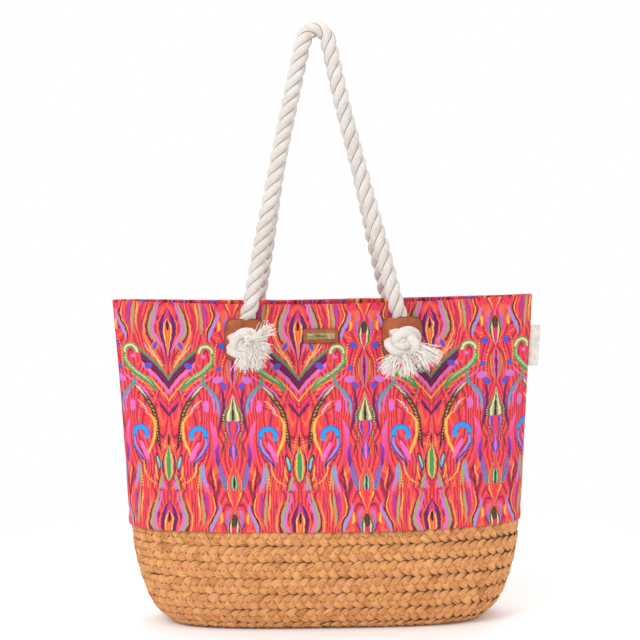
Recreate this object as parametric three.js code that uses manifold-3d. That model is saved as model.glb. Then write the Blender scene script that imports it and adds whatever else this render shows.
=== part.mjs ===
// A beach bag: a printed canvas tote sewn onto a plaited straw base, with two twisted cotton rope
// handles that run behind leather patches, come out through a hole in each and end in a frayed knot.
// Millimetres, +Z up. The bag stands on its base with its front towards -Y, and the origin is the
// middle of the underside of the base.
import * as THREE from "three";
import { mergeVertices } from "three/addons/utils/BufferGeometryUtils.js";
import Module from "manifold-3d";

const wasm = await Module();
wasm.setup();

// ---------- Driving dimensions ----------
const RIM_HEIGHT = 394; // top edge of the canvas at the side seams
const RIM_SAG = 6; // the middle of the rim hangs this much lower than its ends
const SAG_STARTS = 250; // height below which the sag has no effect
const HEM_HEIGHT = 121; // lower edge of the canvas, where the straw starts

const BRAID_PITCH = 19.3; // width of the plaited strip, measured along the wall
const BRAID_THICKNESS = 6;
const BRAID_CROWN = 0.8; // how far the middle of a strip stands out from its edges
const WALL_ROWS = 7;

const CANVAS = 1.2; // thickness of the printed canvas
const INNER_LAYER = 2.4; // depth of the facing and lining behind the canvas's outer face
const CLOTH = 1.0; // thickness of facing, lining and pocket
const GAP = 0.3; // clearance between pieces that touch on the real bag
const FACING_DEPTH = 50; // height of the printed facing inside the rim

const ROPE_RADIUS = 10;
const PIVOT_HEIGHT = 391; // the handles swing here, just above the patches
const PIVOT_OUT = 35.5; // distance of the swing axis from the bag's middle plane
const BOW_OUT = 11; // the same distance at the top of the handle, where both ropes meet
const FOLD_HEIGHT = 455; // the handles fold over here as they come down
const BOW_HEIGHT = 712; // centreline of the rope at the top of the handle
const FOLD_RANGE = 65; // degrees of fold that the rope ends leave room for

const PATCH = { halfWidth: 24.5, bottom: 321.5, top: 373.5, thickness: 2, squareness: 4.2 };
const PATCH_HOLE = { height: 349, radius: 9.4 };
const TUCKED_ROPE = { halfThickness: 5.5, bottom: 348, top: 369 }; // the rope squeezed behind a patch
const KNOT = { x: 25, y: 17, z: 20, height: 346.5, neckRadius: 8.8 };

const LABEL = { x: -2.4, height: 351, width: 42, tall: 17.5, thickness: 1.8 };
const PLAQUE = { width: 33, tall: 8, thickness: 0.9 };
const TAG = { bottom: 307, top: 356, reach: 12.6, thickness: 1, clearance: 0.8 };
const POCKET = { halfWidth: 75, bottom: 170, top: 300 };
const SNAP = { below: 24, radius: 9, thickness: 2.6, studRadius: 4.5, studLength: 1.6, washer: 0.6 };

// Outer shape of the bag from the edge of its flat underside up to the rim.
// Squareness is the exponent of the superellipse that each level is.
const SHAPE = [
  { height: 0, halfWidth: 173, halfDepth: 2.5 * BRAID_PITCH, squareness: 3.2 },
  { height: 1.2, halfWidth: 181, halfDepth: 55, squareness: 3.15 },
  { height: 4.5, halfWidth: 189.5, halfDepth: 60, squareness: 3.1 },
  { height: 10, halfWidth: 198, halfDepth: 64, squareness: 3.0 },
  { height: 25, halfWidth: 212, halfDepth: 70, squareness: 2.8 },
  { height: 48, halfWidth: 222, halfDepth: 73, squareness: 2.6 },
  { height: 74, halfWidth: 229.5, halfDepth: 73, squareness: 2.5 },
  { height: 100, halfWidth: 234, halfDepth: 71, squareness: 2.4 },
  { height: 122, halfWidth: 236.5, halfDepth: 68, squareness: 2.3 },
  { height: 150, halfWidth: 238, halfDepth: 64, squareness: 2.2 },
  { height: 208, halfWidth: 241.6, halfDepth: 56, squareness: 2.1 },
  { height: 268, halfWidth: 244.8, halfDepth: 45, squareness: 1.95 },
  { height: 330, halfWidth: 248.4, halfDepth: 34.5, squareness: 1.8 },
  { height: RIM_HEIGHT, halfWidth: 252.6, halfDepth: 24, squareness: 1.65 },
];

// Route of each rope's centreline above the pivots, seen from the front: x and height.
const FRONT_ROUTE = { left: { pivot: -84.5, fold: -72 }, right: { pivot: 86.5, fold: 70.6 } };
const BACK_ROUTE = { left: { pivot: -77.5, fold: -66.5 }, right: { pivot: 78.5, fold: 64.5 } };
const BOW_LEFT = [[-50.6, 555], [-37.4, 615], [-25.8, 666], [-21.6, 684], [-18.5, 696], [-14, 706.5]];
const BOW_RIGHT = [[8, 706.5], [11.5, 696], [14, 684], [17.6, 666], [28.8, 615], [43.8, 555]];
const BOW_X = -3;
const FRONT_PATCHES = { left: -92.5, right: 94.5 };
const BACK_PATCHES = { left: -86.5, right: 87.5 };

// ---------- Materials ----------
const material = (color, roughness, metalness = 0) =>
  new THREE.MeshStandardMaterial({ color, roughness, metalness });
const PRINT = material(0xe0405a, 0.85);
const STRAW = material(0xd6a067, 0.8);
const COTTON = material(0xe8e0d4, 0.95);
const LEATHER = material(0xa04f1e, 0.6);
const LINING = material(0xe6d9c4, 0.9);
const BRASS = material(0xb98b4a, 0.35, 1);
const STEEL = material(0xc9c9c9, 0.3, 1);
const RIBBON = material(0xf0e8d8, 0.9);

// ---------- Solids ----------
// A closed solid between two matching grids of points. Each grid is a list of rows; wraps says that
// the last column meets the first.
function shell(near, far, wraps) {
  const rows = near.length;
  const columns = near[0].length;
  const points = [...near.flat(), ...far.flat()];
  const at = (side, row, column) => side * rows * columns + row * columns + (column % columns);
  const faces = [];
  const quad = (a, b, c, d) => faces.push(a, b, c, a, c, d);
  const columnSteps = wraps ? columns : columns - 1;
  for (let c = 0; c < columnSteps; c++) {
    for (let r = 0; r < rows - 1; r++) {
      quad(at(0, r, c), at(0, r, c + 1), at(0, r + 1, c + 1), at(0, r + 1, c));
      quad(at(1, r, c), at(1, r + 1, c), at(1, r + 1, c + 1), at(1, r, c + 1));
    }
    const last = rows - 1;
    quad(at(0, 0, c), at(1, 0, c), at(1, 0, c + 1), at(0, 0, c + 1));
    quad(at(0, last, c), at(0, last, c + 1), at(1, last, c + 1), at(1, last, c));
  }
  if (!wraps) {
    const end = columns - 1;
    for (let r = 0; r < rows - 1; r++) {
      quad(at(0, r, 0), at(0, r + 1, 0), at(1, r + 1, 0), at(1, r, 0));
      quad(at(0, r, end), at(1, r, end), at(1, r + 1, end), at(0, r + 1, end));
    }
  }
  return geometryFrom(points, facingOut(points, faces));
}

// Turns a closed surface's faces round where they point inwards.
function facingOut(points, faces) {
  let volume = 0;
  for (let i = 0; i < faces.length; i += 3) {
    const [a, b, c] = [points[faces[i]], points[faces[i + 1]], points[faces[i + 2]]];
    volume += a.dot(new THREE.Vector3().crossVectors(b, c));
  }
  return volume < 0 ? faces.toReversed() : faces;
}

function geometryFrom(points, faces) {
  const geometry = new THREE.BufferGeometry().setFromPoints(points);
  geometry.setIndex(faces);
  return geometry;
}

function toSolid(geometry) {
  const bare = geometry.clone();
  bare.deleteAttribute("normal");
  bare.deleteAttribute("uv");
  const merged = mergeVertices(bare, 1e-3);
  return new wasm.Manifold(
    new wasm.Mesh({
      numProp: 3,
      vertProperties: merged.attributes.position.array,
      triVerts: new Uint32Array(merged.index.array),
    }),
  );
}

function toGeometry(solid) {
  const made = solid.getMesh();
  const geometry = new THREE.BufferGeometry();
  geometry.setAttribute("position", new THREE.BufferAttribute(made.vertProperties, 3));
  geometry.setIndex(new THREE.BufferAttribute(made.triVerts, 1));
  return geometry;
}

const joined = (...geometries) => toGeometry(geometries.map(toSolid).reduce((a, b) => a.add(b)));
const cutBy = (geometry, tool) => toGeometry(toSolid(geometry).subtract(toSolid(tool)));

// ---------- The bag's surface ----------
const shapeCurve = new THREE.CatmullRomCurve3(
  SHAPE.map((s) => new THREE.Vector3(s.halfWidth, s.halfDepth, s.height)),
  false,
  "catmullrom",
  0.5,
);

// The level of the wall at t, which runs from 0 at the underside to 1 at the rim.
function levelAt(t) {
  const step = 1e-3;
  const here = shapeCurve.getPoint(t);
  const below = shapeCurve.getPoint(Math.max(0, t - step));
  const above = shapeCurve.getPoint(Math.min(1, t + step));
  const rise = Math.hypot(above.y - below.y, above.z - below.z);
  const place = t * (SHAPE.length - 1);
  const index = Math.min(SHAPE.length - 2, Math.floor(place));
  return {
    halfWidth: here.x,
    halfDepth: here.y,
    height: here.z,
    squareness: THREE.MathUtils.lerp(
      SHAPE[index].squareness,
      SHAPE[index + 1].squareness,
      place - index,
    ),
    inward: (above.z - below.z) / rise,
    upward: (above.y - below.y) / rise,
  };
}

// The t where measure(level) reaches value, for a measure that grows from base to rim.
function tWhere(measure, value) {
  let low = 0;
  let high = 1;
  for (let i = 0; i < 40; i++) {
    const middle = (low + high) / 2;
    if (measure(middle) < value) low = middle;
    else high = middle;
  }
  return (low + high) / 2;
}

const tAtHeight = (height) => tWhere((t) => shapeCurve.getPoint(t).z, height);

// Distance along the front of the wall from the edge of the flat underside.
const WALL_STEPS = 400;
const wallLengths = [0];
for (let i = 1; i <= WALL_STEPS; i++) {
  const a = shapeCurve.getPoint((i - 1) / WALL_STEPS);
  const b = shapeCurve.getPoint(i / WALL_STEPS);
  wallLengths.push(wallLengths[i - 1] + Math.hypot(b.y - a.y, b.z - a.z));
}
function wallLength(t) {
  const place = t * WALL_STEPS;
  const index = Math.min(WALL_STEPS - 1, Math.floor(place));
  return THREE.MathUtils.lerp(wallLengths[index], wallLengths[index + 1], place - index);
}
const tAtLength = (length) => tWhere(wallLength, length);

const signedPower = (value, power) => Math.sign(value) * Math.abs(value) ** power;

// How far a point of the wall hangs below its nominal height.
function sagAt(height, across) {
  const reach = THREE.MathUtils.clamp((height - SAG_STARTS) / (RIM_HEIGHT - SAG_STARTS), 0, 1);
  return RIM_SAG * reach * reach * (1 - across * across);
}

// A point of the wall: angle 0 is the right-hand seam, and a quarter turn is the middle of the back.
function wallPoint(level, angle, depth) {
  const inset = depth * level.inward;
  const power = 2 / level.squareness;
  const across = signedPower(Math.cos(angle), power);
  return new THREE.Vector3(
    (level.halfWidth - inset) * across,
    (level.halfDepth - inset) * signedPower(Math.sin(angle), power),
    level.height + depth * level.upward - sagAt(level.height, across),
  );
}

// How far the outer face of the wall stands from the bag's middle plane.
function wallOut(x, height) {
  let nominal = height;
  for (let i = 0; i < 4; i++) {
    nominal = Math.min(RIM_HEIGHT, height + sagAt(nominal, Math.abs(x) / SHAPE.at(-1).halfWidth));
  }
  const level = levelAt(tAtHeight(nominal));
  const rest = 1 - (Math.abs(x) / level.halfWidth) ** level.squareness;
  return level.halfDepth * Math.max(0, rest) ** (1 / level.squareness);
}

// ---------- Sewn panels ----------
const PANEL_COLUMNS = 18;

// One half of the wall, front (side -1) or back (side 1), between two depths.
function halfWall(side, heights, depthAt, thickness) {
  const grid = (extra) =>
    heights.map((height) => {
      const level = levelAt(tAtHeight(height));
      return Array.from({ length: PANEL_COLUMNS + 1 }, (_, c) => {
        const angle = (side * Math.PI * c) / PANEL_COLUMNS;
        const point = wallPoint(level, angle, depthAt(height) + extra);
        point.y = side * Math.max(side * point.y, GAP / 2);
        return point;
      });
    });
  return shell(grid(0), grid(thickness), false);
}

const levels = (low, high, steps) =>
  Array.from({ length: steps + 1 }, (_, i) => THREE.MathUtils.lerp(low, high, i / steps));

const CANVAS_LEVELS = levels(HEM_HEIGHT + GAP, RIM_HEIGHT, 6);
const canvasPanel = (side) => halfWall(side, CANVAS_LEVELS, () => 0, CANVAS);

const FACING_LEVELS = levels(RIM_HEIGHT - FACING_DEPTH, RIM_HEIGHT, 2);
const facing = (side) => halfWall(side, FACING_LEVELS, () => INNER_LAYER, CLOTH);

// The lining hangs from the facing and steps in where the straw is thicker than the canvas.
function liningDepth(height) {
  const straw = BRAID_THICKNESS + 2 * GAP;
  const blend = THREE.MathUtils.smoothstep(height, HEM_HEIGHT + 4, HEM_HEIGHT + 24);
  return THREE.MathUtils.lerp(straw, INNER_LAYER, blend);
}
const LINING_TOP = RIM_HEIGHT - FACING_DEPTH - 2 * GAP;
const LINING_LEVELS = [4, 12, 30, 70, 112, HEM_HEIGHT + 4, HEM_HEIGHT + 24, 200, 270, LINING_TOP];
const lining = (side) => halfWall(side, LINING_LEVELS, liningDepth, CLOTH);

function slipPocket() {
  const grid = (depth) =>
    levels(POCKET.bottom, POCKET.top, 3).map((height) =>
      levels(-POCKET.halfWidth, POCKET.halfWidth, 8).map(
        (x) => new THREE.Vector3(x, wallOut(x, height) - depth, height),
      ),
    );
  const depth = INNER_LAYER + CLOTH + 3 * GAP;
  return shell(grid(depth), grid(depth + CLOTH), false);
}

// ---------- Straw base ----------
const ROW_COLUMNS = 36;

// One turn of the plaited strip round the wall.
function wallRow(index) {
  const low = index * BRAID_PITCH + GAP / 2;
  const hem = wallLength(tAtHeight(HEM_HEIGHT)) - GAP / 2;
  const high = Math.min((index + 1) * BRAID_PITCH - GAP / 2, hem);
  const ring = (length, depth) => {
    const level = levelAt(tAtLength(length));
    return Array.from({ length: ROW_COLUMNS }, (_, c) =>
      wallPoint(level, (2 * Math.PI * c) / ROW_COLUMNS, depth),
    );
  };
  const stations = [low, (low + high) / 2, high];
  const outer = stations.map((s, i) => ring(s, i === 1 ? 0 : BRAID_CROWN));
  const inner = stations.map((s) => ring(s, BRAID_THICKNESS));
  return shell(outer, inner, true);
}

// An oval of the flat underside at a distance from its middle line.
function flatOval(halfDepth, height) {
  const base = SHAPE[0];
  const power = 2 / base.squareness;
  const halfWidth = base.halfWidth - (base.halfDepth - halfDepth);
  return Array.from({ length: ROW_COLUMNS }, (_, c) => {
    const angle = (2 * Math.PI * c) / ROW_COLUMNS;
    return new THREE.Vector3(
      halfWidth * signedPower(Math.cos(angle), power),
      halfDepth * signedPower(Math.sin(angle), power),
      height,
    );
  });
}

const TURN_BEVEL = 2; // the upper outer edge is cut back, where the wall's first row leans in over it
function flatTurn(index) {
  const low = BRAID_PITCH / 2 + index * BRAID_PITCH + GAP / 2;
  const high = low + BRAID_PITCH - GAP;
  const rings = (height, edge) => [low, edge].map((out) => flatOval(out, height));
  return shell(rings(0, high), rings(BRAID_THICKNESS, high - TURN_BEVEL), true);
}

function ovalSlab(outline, thickness) {
  const shape = new THREE.Shape(outline.map((p) => new THREE.Vector2(p.x, p.y)));
  return new THREE.ExtrudeGeometry(shape, { depth: thickness, bevelEnabled: false });
}

// ---------- Leather ----------
// How far a patch stands off the canvas where it arches over the rope.
function patchBulge(fromRope, height) {
  const top = 2 * TUCKED_ROPE.halfThickness + 3 * GAP + 0.4;
  const halfSpan = PATCH.halfWidth - 2.5;
  const across = Math.abs(fromRope) < halfSpan ? Math.cos((Math.PI / 2) * (fromRope / halfSpan)) : 0;
  const along = THREE.MathUtils.smoothstep(height, PATCH.bottom + 1.5, PATCH_HOLE.height - 8);
  return top * Math.max(0, across) ** 0.7 * along;
}

function leatherPatch(x, side) {
  const columns = 24;
  const rows = 3;
  const middle = (PATCH.top + PATCH.bottom) / 2;
  const halfHeight = (PATCH.top - PATCH.bottom) / 2;
  const power = 2 / PATCH.squareness;
  const grid = (extra) =>
    Array.from({ length: rows }, (_, r) =>
      Array.from({ length: columns }, (_, c) => {
        const angle = (2 * Math.PI * c) / columns;
        const mix = r / (rows - 1);
        const edgeAcross = PATCH.halfWidth * signedPower(Math.cos(angle), power);
        const edgeHeight = middle + halfHeight * signedPower(Math.sin(angle), power);
        const holeHeight = PATCH_HOLE.height + PATCH_HOLE.radius * Math.sin(angle);
        const across = THREE.MathUtils.lerp(PATCH_HOLE.radius * Math.cos(angle), edgeAcross, mix);
        const height = THREE.MathUtils.lerp(holeHeight, edgeHeight, mix);
        const out = wallOut(x + across, height) + GAP + patchBulge(across, height) + extra;
        return new THREE.Vector3(x + across, side * out, height);
      }),
    );
  return shell(grid(0), grid(PATCH.thickness), true);
}

// ---------- Rope ----------
const ROPE_SIDES = 10;

function ropeSection() {
  const shape = new THREE.Shape();
  shape.setFromPoints(
    Array.from({ length: ROPE_SIDES }, (_, i) => {
      const angle = (2 * Math.PI * i) / ROPE_SIDES;
      return new THREE.Vector2(ROPE_RADIUS * Math.cos(angle), ROPE_RADIUS * Math.sin(angle));
    }),
  );
  return shape;
}

// A straight rope with round ends whose centres are the two points.
function straightRope(from, to) {
  const along = to.clone().sub(from);
  const capsule = new THREE.CapsuleGeometry(ROPE_RADIUS, along.length(), 4, ROPE_SIDES);
  const turn = new THREE.Quaternion().setFromUnitVectors(
    new THREE.Vector3(0, 1, 0),
    along.clone().normalize(),
  );
  return capsule.applyQuaternion(turn).translate(...from.clone().lerp(to, 0.5).toArray());
}

// A rope along a curve, with a round end at each end.
function ropeAlong(curve, steps) {
  const tube = new THREE.ExtrudeGeometry(ropeSection(), {
    extrudePath: curve,
    steps,
    bevelEnabled: false,
  });
  const ends = [0, 1].map((t) => {
    const ball = new THREE.SphereGeometry(ROPE_RADIUS, ROPE_SIDES, 6);
    return ball.translate(...curve.getPoint(t).toArray());
  });
  return joined(tube, ...ends);
}

// A handle leans in from its pivots, so that the tops of the two handles meet.
function leanOut(height) {
  const share = (height - PIVOT_HEIGHT) / (BOW_HEIGHT - PIVOT_HEIGHT);
  return THREE.MathUtils.lerp(PIVOT_OUT, BOW_OUT, share);
}
const ropePoint = (x, height, side) => new THREE.Vector3(x, side * leanOut(height), height);

// Half the length left open at the fold, so that its two round ends clear each other.
const FOLD_CLEAR = ROPE_RADIUS / Math.cos(THREE.MathUtils.degToRad(FOLD_RANGE / 2)) + 0.15;

function ropeLeg(end, side) {
  const pivot = ropePoint(end.pivot, PIVOT_HEIGHT, side);
  const fold = ropePoint(end.fold, FOLD_HEIGHT, side);
  const back = pivot.clone().sub(fold).setLength(FOLD_CLEAR);
  return straightRope(pivot, fold.clone().add(back));
}

function ropeBow(route, side) {
  const start = (end) => {
    const pivot = ropePoint(end.pivot, PIVOT_HEIGHT, side);
    const fold = ropePoint(end.fold, FOLD_HEIGHT, side);
    return fold.clone().add(fold.clone().sub(pivot).setLength(FOLD_CLEAR));
  };
  const points = [
    start(route.left),
    ...[...BOW_LEFT, [BOW_X, BOW_HEIGHT], ...BOW_RIGHT].map(([x, h]) => ropePoint(x, h, side)),
    start(route.right),
  ];
  return ropeAlong(new THREE.CatmullRomCurve3(points, false, "centripetal"), 30);
}

// The flattened end of the rope behind a patch.
function tuckedRope(x, side) {
  const height = TUCKED_ROPE.top - TUCKED_ROPE.bottom;
  const middle = (TUCKED_ROPE.top + TUCKED_ROPE.bottom) / 2;
  const slope = Math.atan2(
    wallOut(x, TUCKED_ROPE.bottom) - wallOut(x, TUCKED_ROPE.top),
    TUCKED_ROPE.top - TUCKED_ROPE.bottom,
  );
  const capsule = new THREE.CapsuleGeometry(ROPE_RADIUS, height, 3, 10).rotateX(Math.PI / 2);
  capsule.scale(1, TUCKED_ROPE.halfThickness / ROPE_RADIUS, 1);
  capsule.rotateX(side * slope);
  const out = wallOut(x, middle) + 2 * GAP + TUCKED_ROPE.halfThickness;
  return capsule.translate(x, side * out, middle);
}

// ---------- Knots and tassels ----------
const patchFront = (x) => wallOut(x, PATCH_HOLE.height) + GAP + patchBulge(0, PATCH_HOLE.height) + PATCH.thickness;
const knotOut = (x) => patchFront(x) + GAP + KNOT.y;

function knotBall(x, side, grow) {
  const ball = new THREE.SphereGeometry(1, 12, 8);
  ball.scale(KNOT.x + grow, KNOT.y + grow, KNOT.z + grow);
  return ball.translate(x, side * knotOut(x), KNOT.height);
}

// The knot, with the stub of rope that reaches through the hole of the patch.
function knot(x, side) {
  const ropeFront = wallOut(x, PATCH_HOLE.height) + 3 * GAP + 2 * TUCKED_ROPE.halfThickness;
  const length = knotOut(x) - ropeFront;
  const stub = new THREE.CylinderGeometry(KNOT.neckRadius, KNOT.neckRadius, length, 12);
  stub.translate(x, side * (ropeFront + length / 2), PATCH_HOLE.height);
  return joined(knotBall(x, side, 0), stub);
}

// The frayed end below a knot: a brush that widens towards its cut ends.
function tassel(x, side, lean) {
  const profile = [[0, 0], [8, 0], [12, 12], [16, 24], [17, 36], [12, 42], [0, 43]];
  const brush = new THREE.LatheGeometry(profile.map(([r, h]) => new THREE.Vector2(r, h)), 12);
  brush.scale(1, 1, 0.8);
  brush.rotateZ(Math.PI + lean);
  const hanging = brush.rotateX(Math.PI / 2);
  hanging.translate(x, side * (knotOut(x) - 2), KNOT.height);
  return cutBy(hanging, knotBall(x, side, 0.4));
}

// ---------- Trim ----------
// Places a flat piece, made in the XY plane with its face towards +Z, against the outside of the wall.
function onWall(geometry, x, height, side, out) {
  const slope = Math.atan2(wallOut(x, height - 5) - wallOut(x, height + 5), 10);
  const mesh = new THREE.Group();
  mesh.rotation.set(Math.PI / 2 - slope, 0, side > 0 ? Math.PI : 0, "ZXY");
  mesh.position.set(x, side * (wallOut(x, height) + out), height);
  mesh.add(geometry);
  return mesh;
}

function roundedPlate(width, tall, radius, thickness) {
  const w = width / 2 - radius;
  const h = tall / 2 - radius;
  const shape = new THREE.Shape();
  shape.absarc(w, h, radius, 0, Math.PI / 2);
  shape.absarc(-w, h, radius, Math.PI / 2, Math.PI);
  shape.absarc(-w, -h, radius, Math.PI, 1.5 * Math.PI);
  shape.absarc(w, -h, radius, 1.5 * Math.PI, 2 * Math.PI);
  return new THREE.ExtrudeGeometry(shape, { depth: thickness, bevelEnabled: false, curveSegments: 4 });
}

function disc(radius, thickness) {
  return new THREE.CylinderGeometry(radius, radius, thickness, 14)
    .rotateX(Math.PI / 2)
    .translate(0, 0, thickness / 2);
}

// The woven tag sewn into the right-hand seam.
function sideTag() {
  const edge = (height) => levelAt(tAtHeight(height)).halfWidth + TAG.clearance;
  const shape = new THREE.Shape([
    new THREE.Vector2(edge(TAG.bottom), TAG.bottom),
    new THREE.Vector2(edge(TAG.bottom) + TAG.reach, TAG.bottom),
    new THREE.Vector2(edge(TAG.top) + TAG.reach, TAG.top),
    new THREE.Vector2(edge(TAG.top), TAG.top),
  ]);
  return new THREE.ExtrudeGeometry(shape, { depth: TAG.thickness, bevelEnabled: false })
    .rotateX(Math.PI / 2)
    .translate(0, TAG.thickness / 2, 0);
}

// ---------- Assembly ----------
const bag = new THREE.Group();

function piece(name, geometry, look) {
  const mesh = new THREE.Mesh(geometry, look);
  mesh.name = name;
  return mesh;
}
const add = (name, geometry, look) => bag.add(piece(name, geometry, look));

const SIDES = { front: -1, back: 1 };
for (const [face, side] of Object.entries(SIDES)) {
  add(`${face}_canvas`, canvasPanel(side), PRINT);
  add(`${face}_facing`, facing(side), PRINT);
  add(`${face}_lining`, lining(side), LINING);
}
add("slip_pocket", slipPocket(), LINING);

add("bottom_braid_core", ovalSlab(flatOval(BRAID_PITCH / 2 - GAP / 2, 0), BRAID_THICKNESS), STRAW);
for (let i = 0; i < 2; i++) add(`bottom_braid_turn_${i + 1}`, flatTurn(i), STRAW);
for (let i = 0; i < WALL_ROWS; i++) add(`braid_row_${i + 1}`, wallRow(i), STRAW);
const bottomLining = ovalSlab(flatOval(SHAPE[0].halfDepth - 4, 0), CLOTH);
add("bottom_lining", bottomLining.translate(0, 0, BRAID_THICKNESS + GAP), LINING);

const TASSEL_LEAN = { left: 0.6, right: 0.25 }; // radians from straight down, towards +X
for (const [face, side] of Object.entries(SIDES)) {
  const route = side < 0 ? FRONT_ROUTE : BACK_ROUTE;
  const patches = side < 0 ? FRONT_PATCHES : BACK_PATCHES;
  for (const hand of ["left", "right"]) {
    const x = patches[hand];
    const name = `${face}_${hand}`;
    add(`${name}_patch`, leatherPatch(x, side), LEATHER);
    add(`${name}_tucked_rope`, tuckedRope(x, side), COTTON);
    add(`${name}_knot`, knot(x, side), COTTON);
    add(`${name}_tassel`, tassel(x, side, TASSEL_LEAN[hand]), COTTON);
    add(`${name}_rope_leg`, ropeLeg(route[hand], side), COTTON);
  }
  add(`${face}_rope_bow`, ropeBow(route, side), COTTON);
}

const label = piece("label_leather", roundedPlate(LABEL.width, LABEL.tall, 2, LABEL.thickness), LEATHER);
bag.add(onWall(label, LABEL.x, LABEL.height, -1, 2 * GAP));
const plaque = piece("label_plaque", roundedPlate(PLAQUE.width, PLAQUE.tall, 1, PLAQUE.thickness), BRASS);
bag.add(onWall(plaque, LABEL.x, LABEL.height, -1, LABEL.thickness + 3 * GAP));
add("side_tag", sideTag(), RIBBON);

const snapHeight = RIM_HEIGHT - RIM_SAG - SNAP.below;
for (const [face, side] of Object.entries(SIDES)) {
  const washer = piece(`${face}_snap_washer`, disc(SNAP.radius - 1, SNAP.washer), STEEL);
  bag.add(onWall(washer, 0, snapHeight, side, -CANVAS - GAP - SNAP.washer));
}
const socket = cutBy(
  disc(SNAP.radius, SNAP.thickness),
  disc(SNAP.studRadius + GAP, SNAP.studLength + GAP).translate(0, 0, -GAP),
);
const stud = joined(
  disc(SNAP.radius, SNAP.thickness),
  disc(SNAP.studRadius, SNAP.studLength + 1).translate(0, 0, -SNAP.studLength),
);
const snapDepth = INNER_LAYER + CLOTH + GAP + SNAP.thickness;
bag.add(onWall(piece("front_snap_socket", socket, STEEL), 0, snapHeight, -1, -snapDepth));
bag.add(onWall(piece("back_snap_stud", stud, STEEL), 0, snapHeight, 1, -snapDepth));

export default bag;
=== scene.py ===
"""A beach bag: printed canvas on a plaited straw base, with two knotted cotton rope handles.

Lengths are in millimetres up to mesh_piece(), which writes metres. +Z is up and the front faces -Y.
"""

import math

import bpy
import numpy as np
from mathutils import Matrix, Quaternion, Vector


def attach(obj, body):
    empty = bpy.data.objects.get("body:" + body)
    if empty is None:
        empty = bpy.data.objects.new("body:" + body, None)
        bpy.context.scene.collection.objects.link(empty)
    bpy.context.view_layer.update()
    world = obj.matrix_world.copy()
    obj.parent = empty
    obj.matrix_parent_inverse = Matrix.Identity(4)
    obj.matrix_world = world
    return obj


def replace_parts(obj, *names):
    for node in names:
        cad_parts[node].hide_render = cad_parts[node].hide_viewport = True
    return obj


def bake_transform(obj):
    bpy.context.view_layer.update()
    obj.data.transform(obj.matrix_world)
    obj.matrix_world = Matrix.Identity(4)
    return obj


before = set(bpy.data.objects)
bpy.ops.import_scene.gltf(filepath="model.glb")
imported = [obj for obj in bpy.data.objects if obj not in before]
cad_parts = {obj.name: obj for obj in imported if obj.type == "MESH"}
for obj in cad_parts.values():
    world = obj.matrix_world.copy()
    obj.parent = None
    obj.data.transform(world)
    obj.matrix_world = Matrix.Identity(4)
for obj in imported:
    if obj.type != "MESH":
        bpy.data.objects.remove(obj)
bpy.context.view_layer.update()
MM = 0.001

# ---------- Sizes that the CAD source also has ----------
RIM_HEIGHT = 394
RIM_SAG = 6
SAG_STARTS = 250
HEM_HEIGHT = 121
BRAID_PITCH = 19.3
BRAID_THICKNESS = 6
WALL_ROWS = 7
CANVAS = 1.2
INNER_LAYER = 2.4
CLOTH = 1.0
GAP = 0.3
FACING_DEPTH = 50
ROPE_RADIUS = 10
PIVOT_HEIGHT = 391
PIVOT_OUT = 35.5
BOW_OUT = 11
FOLD_HEIGHT = 455
BOW_HEIGHT = 712
PATCH = {"half_width": 24.5, "bottom": 321.5, "top": 373.5, "thickness": 2, "squareness": 4.2}
PATCH_HOLE = {"height": 349, "radius": 9.4}
TUCK_HALF = 5.5
KNOT = {"x": 25, "y": 17, "z": 20, "height": 346.5}
LABEL = {"x": -2.4, "height": 351, "width": 42, "tall": 17.5, "thickness": 1.8}
PLAQUE = {"width": 33, "tall": 8, "thickness": 0.9}
TAG = {"bottom": 307, "top": 356, "reach": 12.6, "thickness": 1, "clearance": 0.8}
POCKET = {"half_width": 75, "bottom": 170, "top": 300}
# height, half width, half depth and squareness of the wall from the flat underside to the rim
SHAPE = np.array(
    [
        (0, 173, 48.25, 3.2),
        (1.2, 181, 55, 3.15),
        (4.5, 189.5, 60, 3.1),
        (10, 198, 64, 3.0),
        (25, 212, 70, 2.8),
        (48, 222, 73, 2.6),
        (74, 229.5, 73, 2.5),
        (100, 234, 71, 2.4),
        (122, 236.5, 68, 2.3),
        (150, 238, 64, 2.2),
        (208, 241.6, 56, 2.1),
        (268, 244.8, 45, 1.95),
        (330, 248.4, 34.5, 1.8),
        (RIM_HEIGHT, 252.6, 24, 1.65),
    ]
)
ROUTES = {
    "front": {
        "side": -1,
        "left": {"pivot": -84.5, "fold": -72, "patch": -92.5},
        "right": {"pivot": 86.5, "fold": 70.6, "patch": 94.5},
    },
    "back": {
        "side": 1,
        "left": {"pivot": -77.5, "fold": -66.5, "patch": -86.5},
        "right": {"pivot": 78.5, "fold": 64.5, "patch": 87.5},
    },
}
BOW_LEFT = [(-50.6, 555), (-37.4, 615), (-25.8, 666), (-21.6, 684), (-18.5, 696), (-14, 706.5)]
BOW_RIGHT = [(8, 706.5), (11.5, 696), (14, 684), (17.6, 666), (28.8, 615), (43.8, 555)]
BOW_X = -3

# ---------- Camera ----------
VIEW = {"target": (-3, 0, 365.6), "elevation": 8, "distance": 2600, "width": 768, "roll": 0.8}


def make_camera():
    data = bpy.data.cameras.new("camera")
    camera = bpy.data.objects.new("camera", data)
    bpy.context.scene.collection.objects.link(camera)
    bpy.context.scene.camera = camera
    tilt = math.radians(VIEW["elevation"])
    target = Vector(VIEW["target"]) * MM
    back = Vector((0, -math.cos(tilt), math.sin(tilt)))
    camera.location = target + back * VIEW["distance"] * MM
    turn = back.to_track_quat("Z", "Y") @ Quaternion((0, 0, 1), -math.radians(VIEW["roll"]))
    camera.rotation_euler = turn.to_euler()
    data.sensor_width = 36
    data.lens = data.sensor_width * VIEW["distance"] / VIEW["width"]
    data.clip_end = 50


# ---------- Small sums ----------
def smoothstep(value, low, high):
    t = np.clip((np.asarray(value, float) - low) / (high - low), 0, 1)
    return t * t * (3 - 2 * t)


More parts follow.
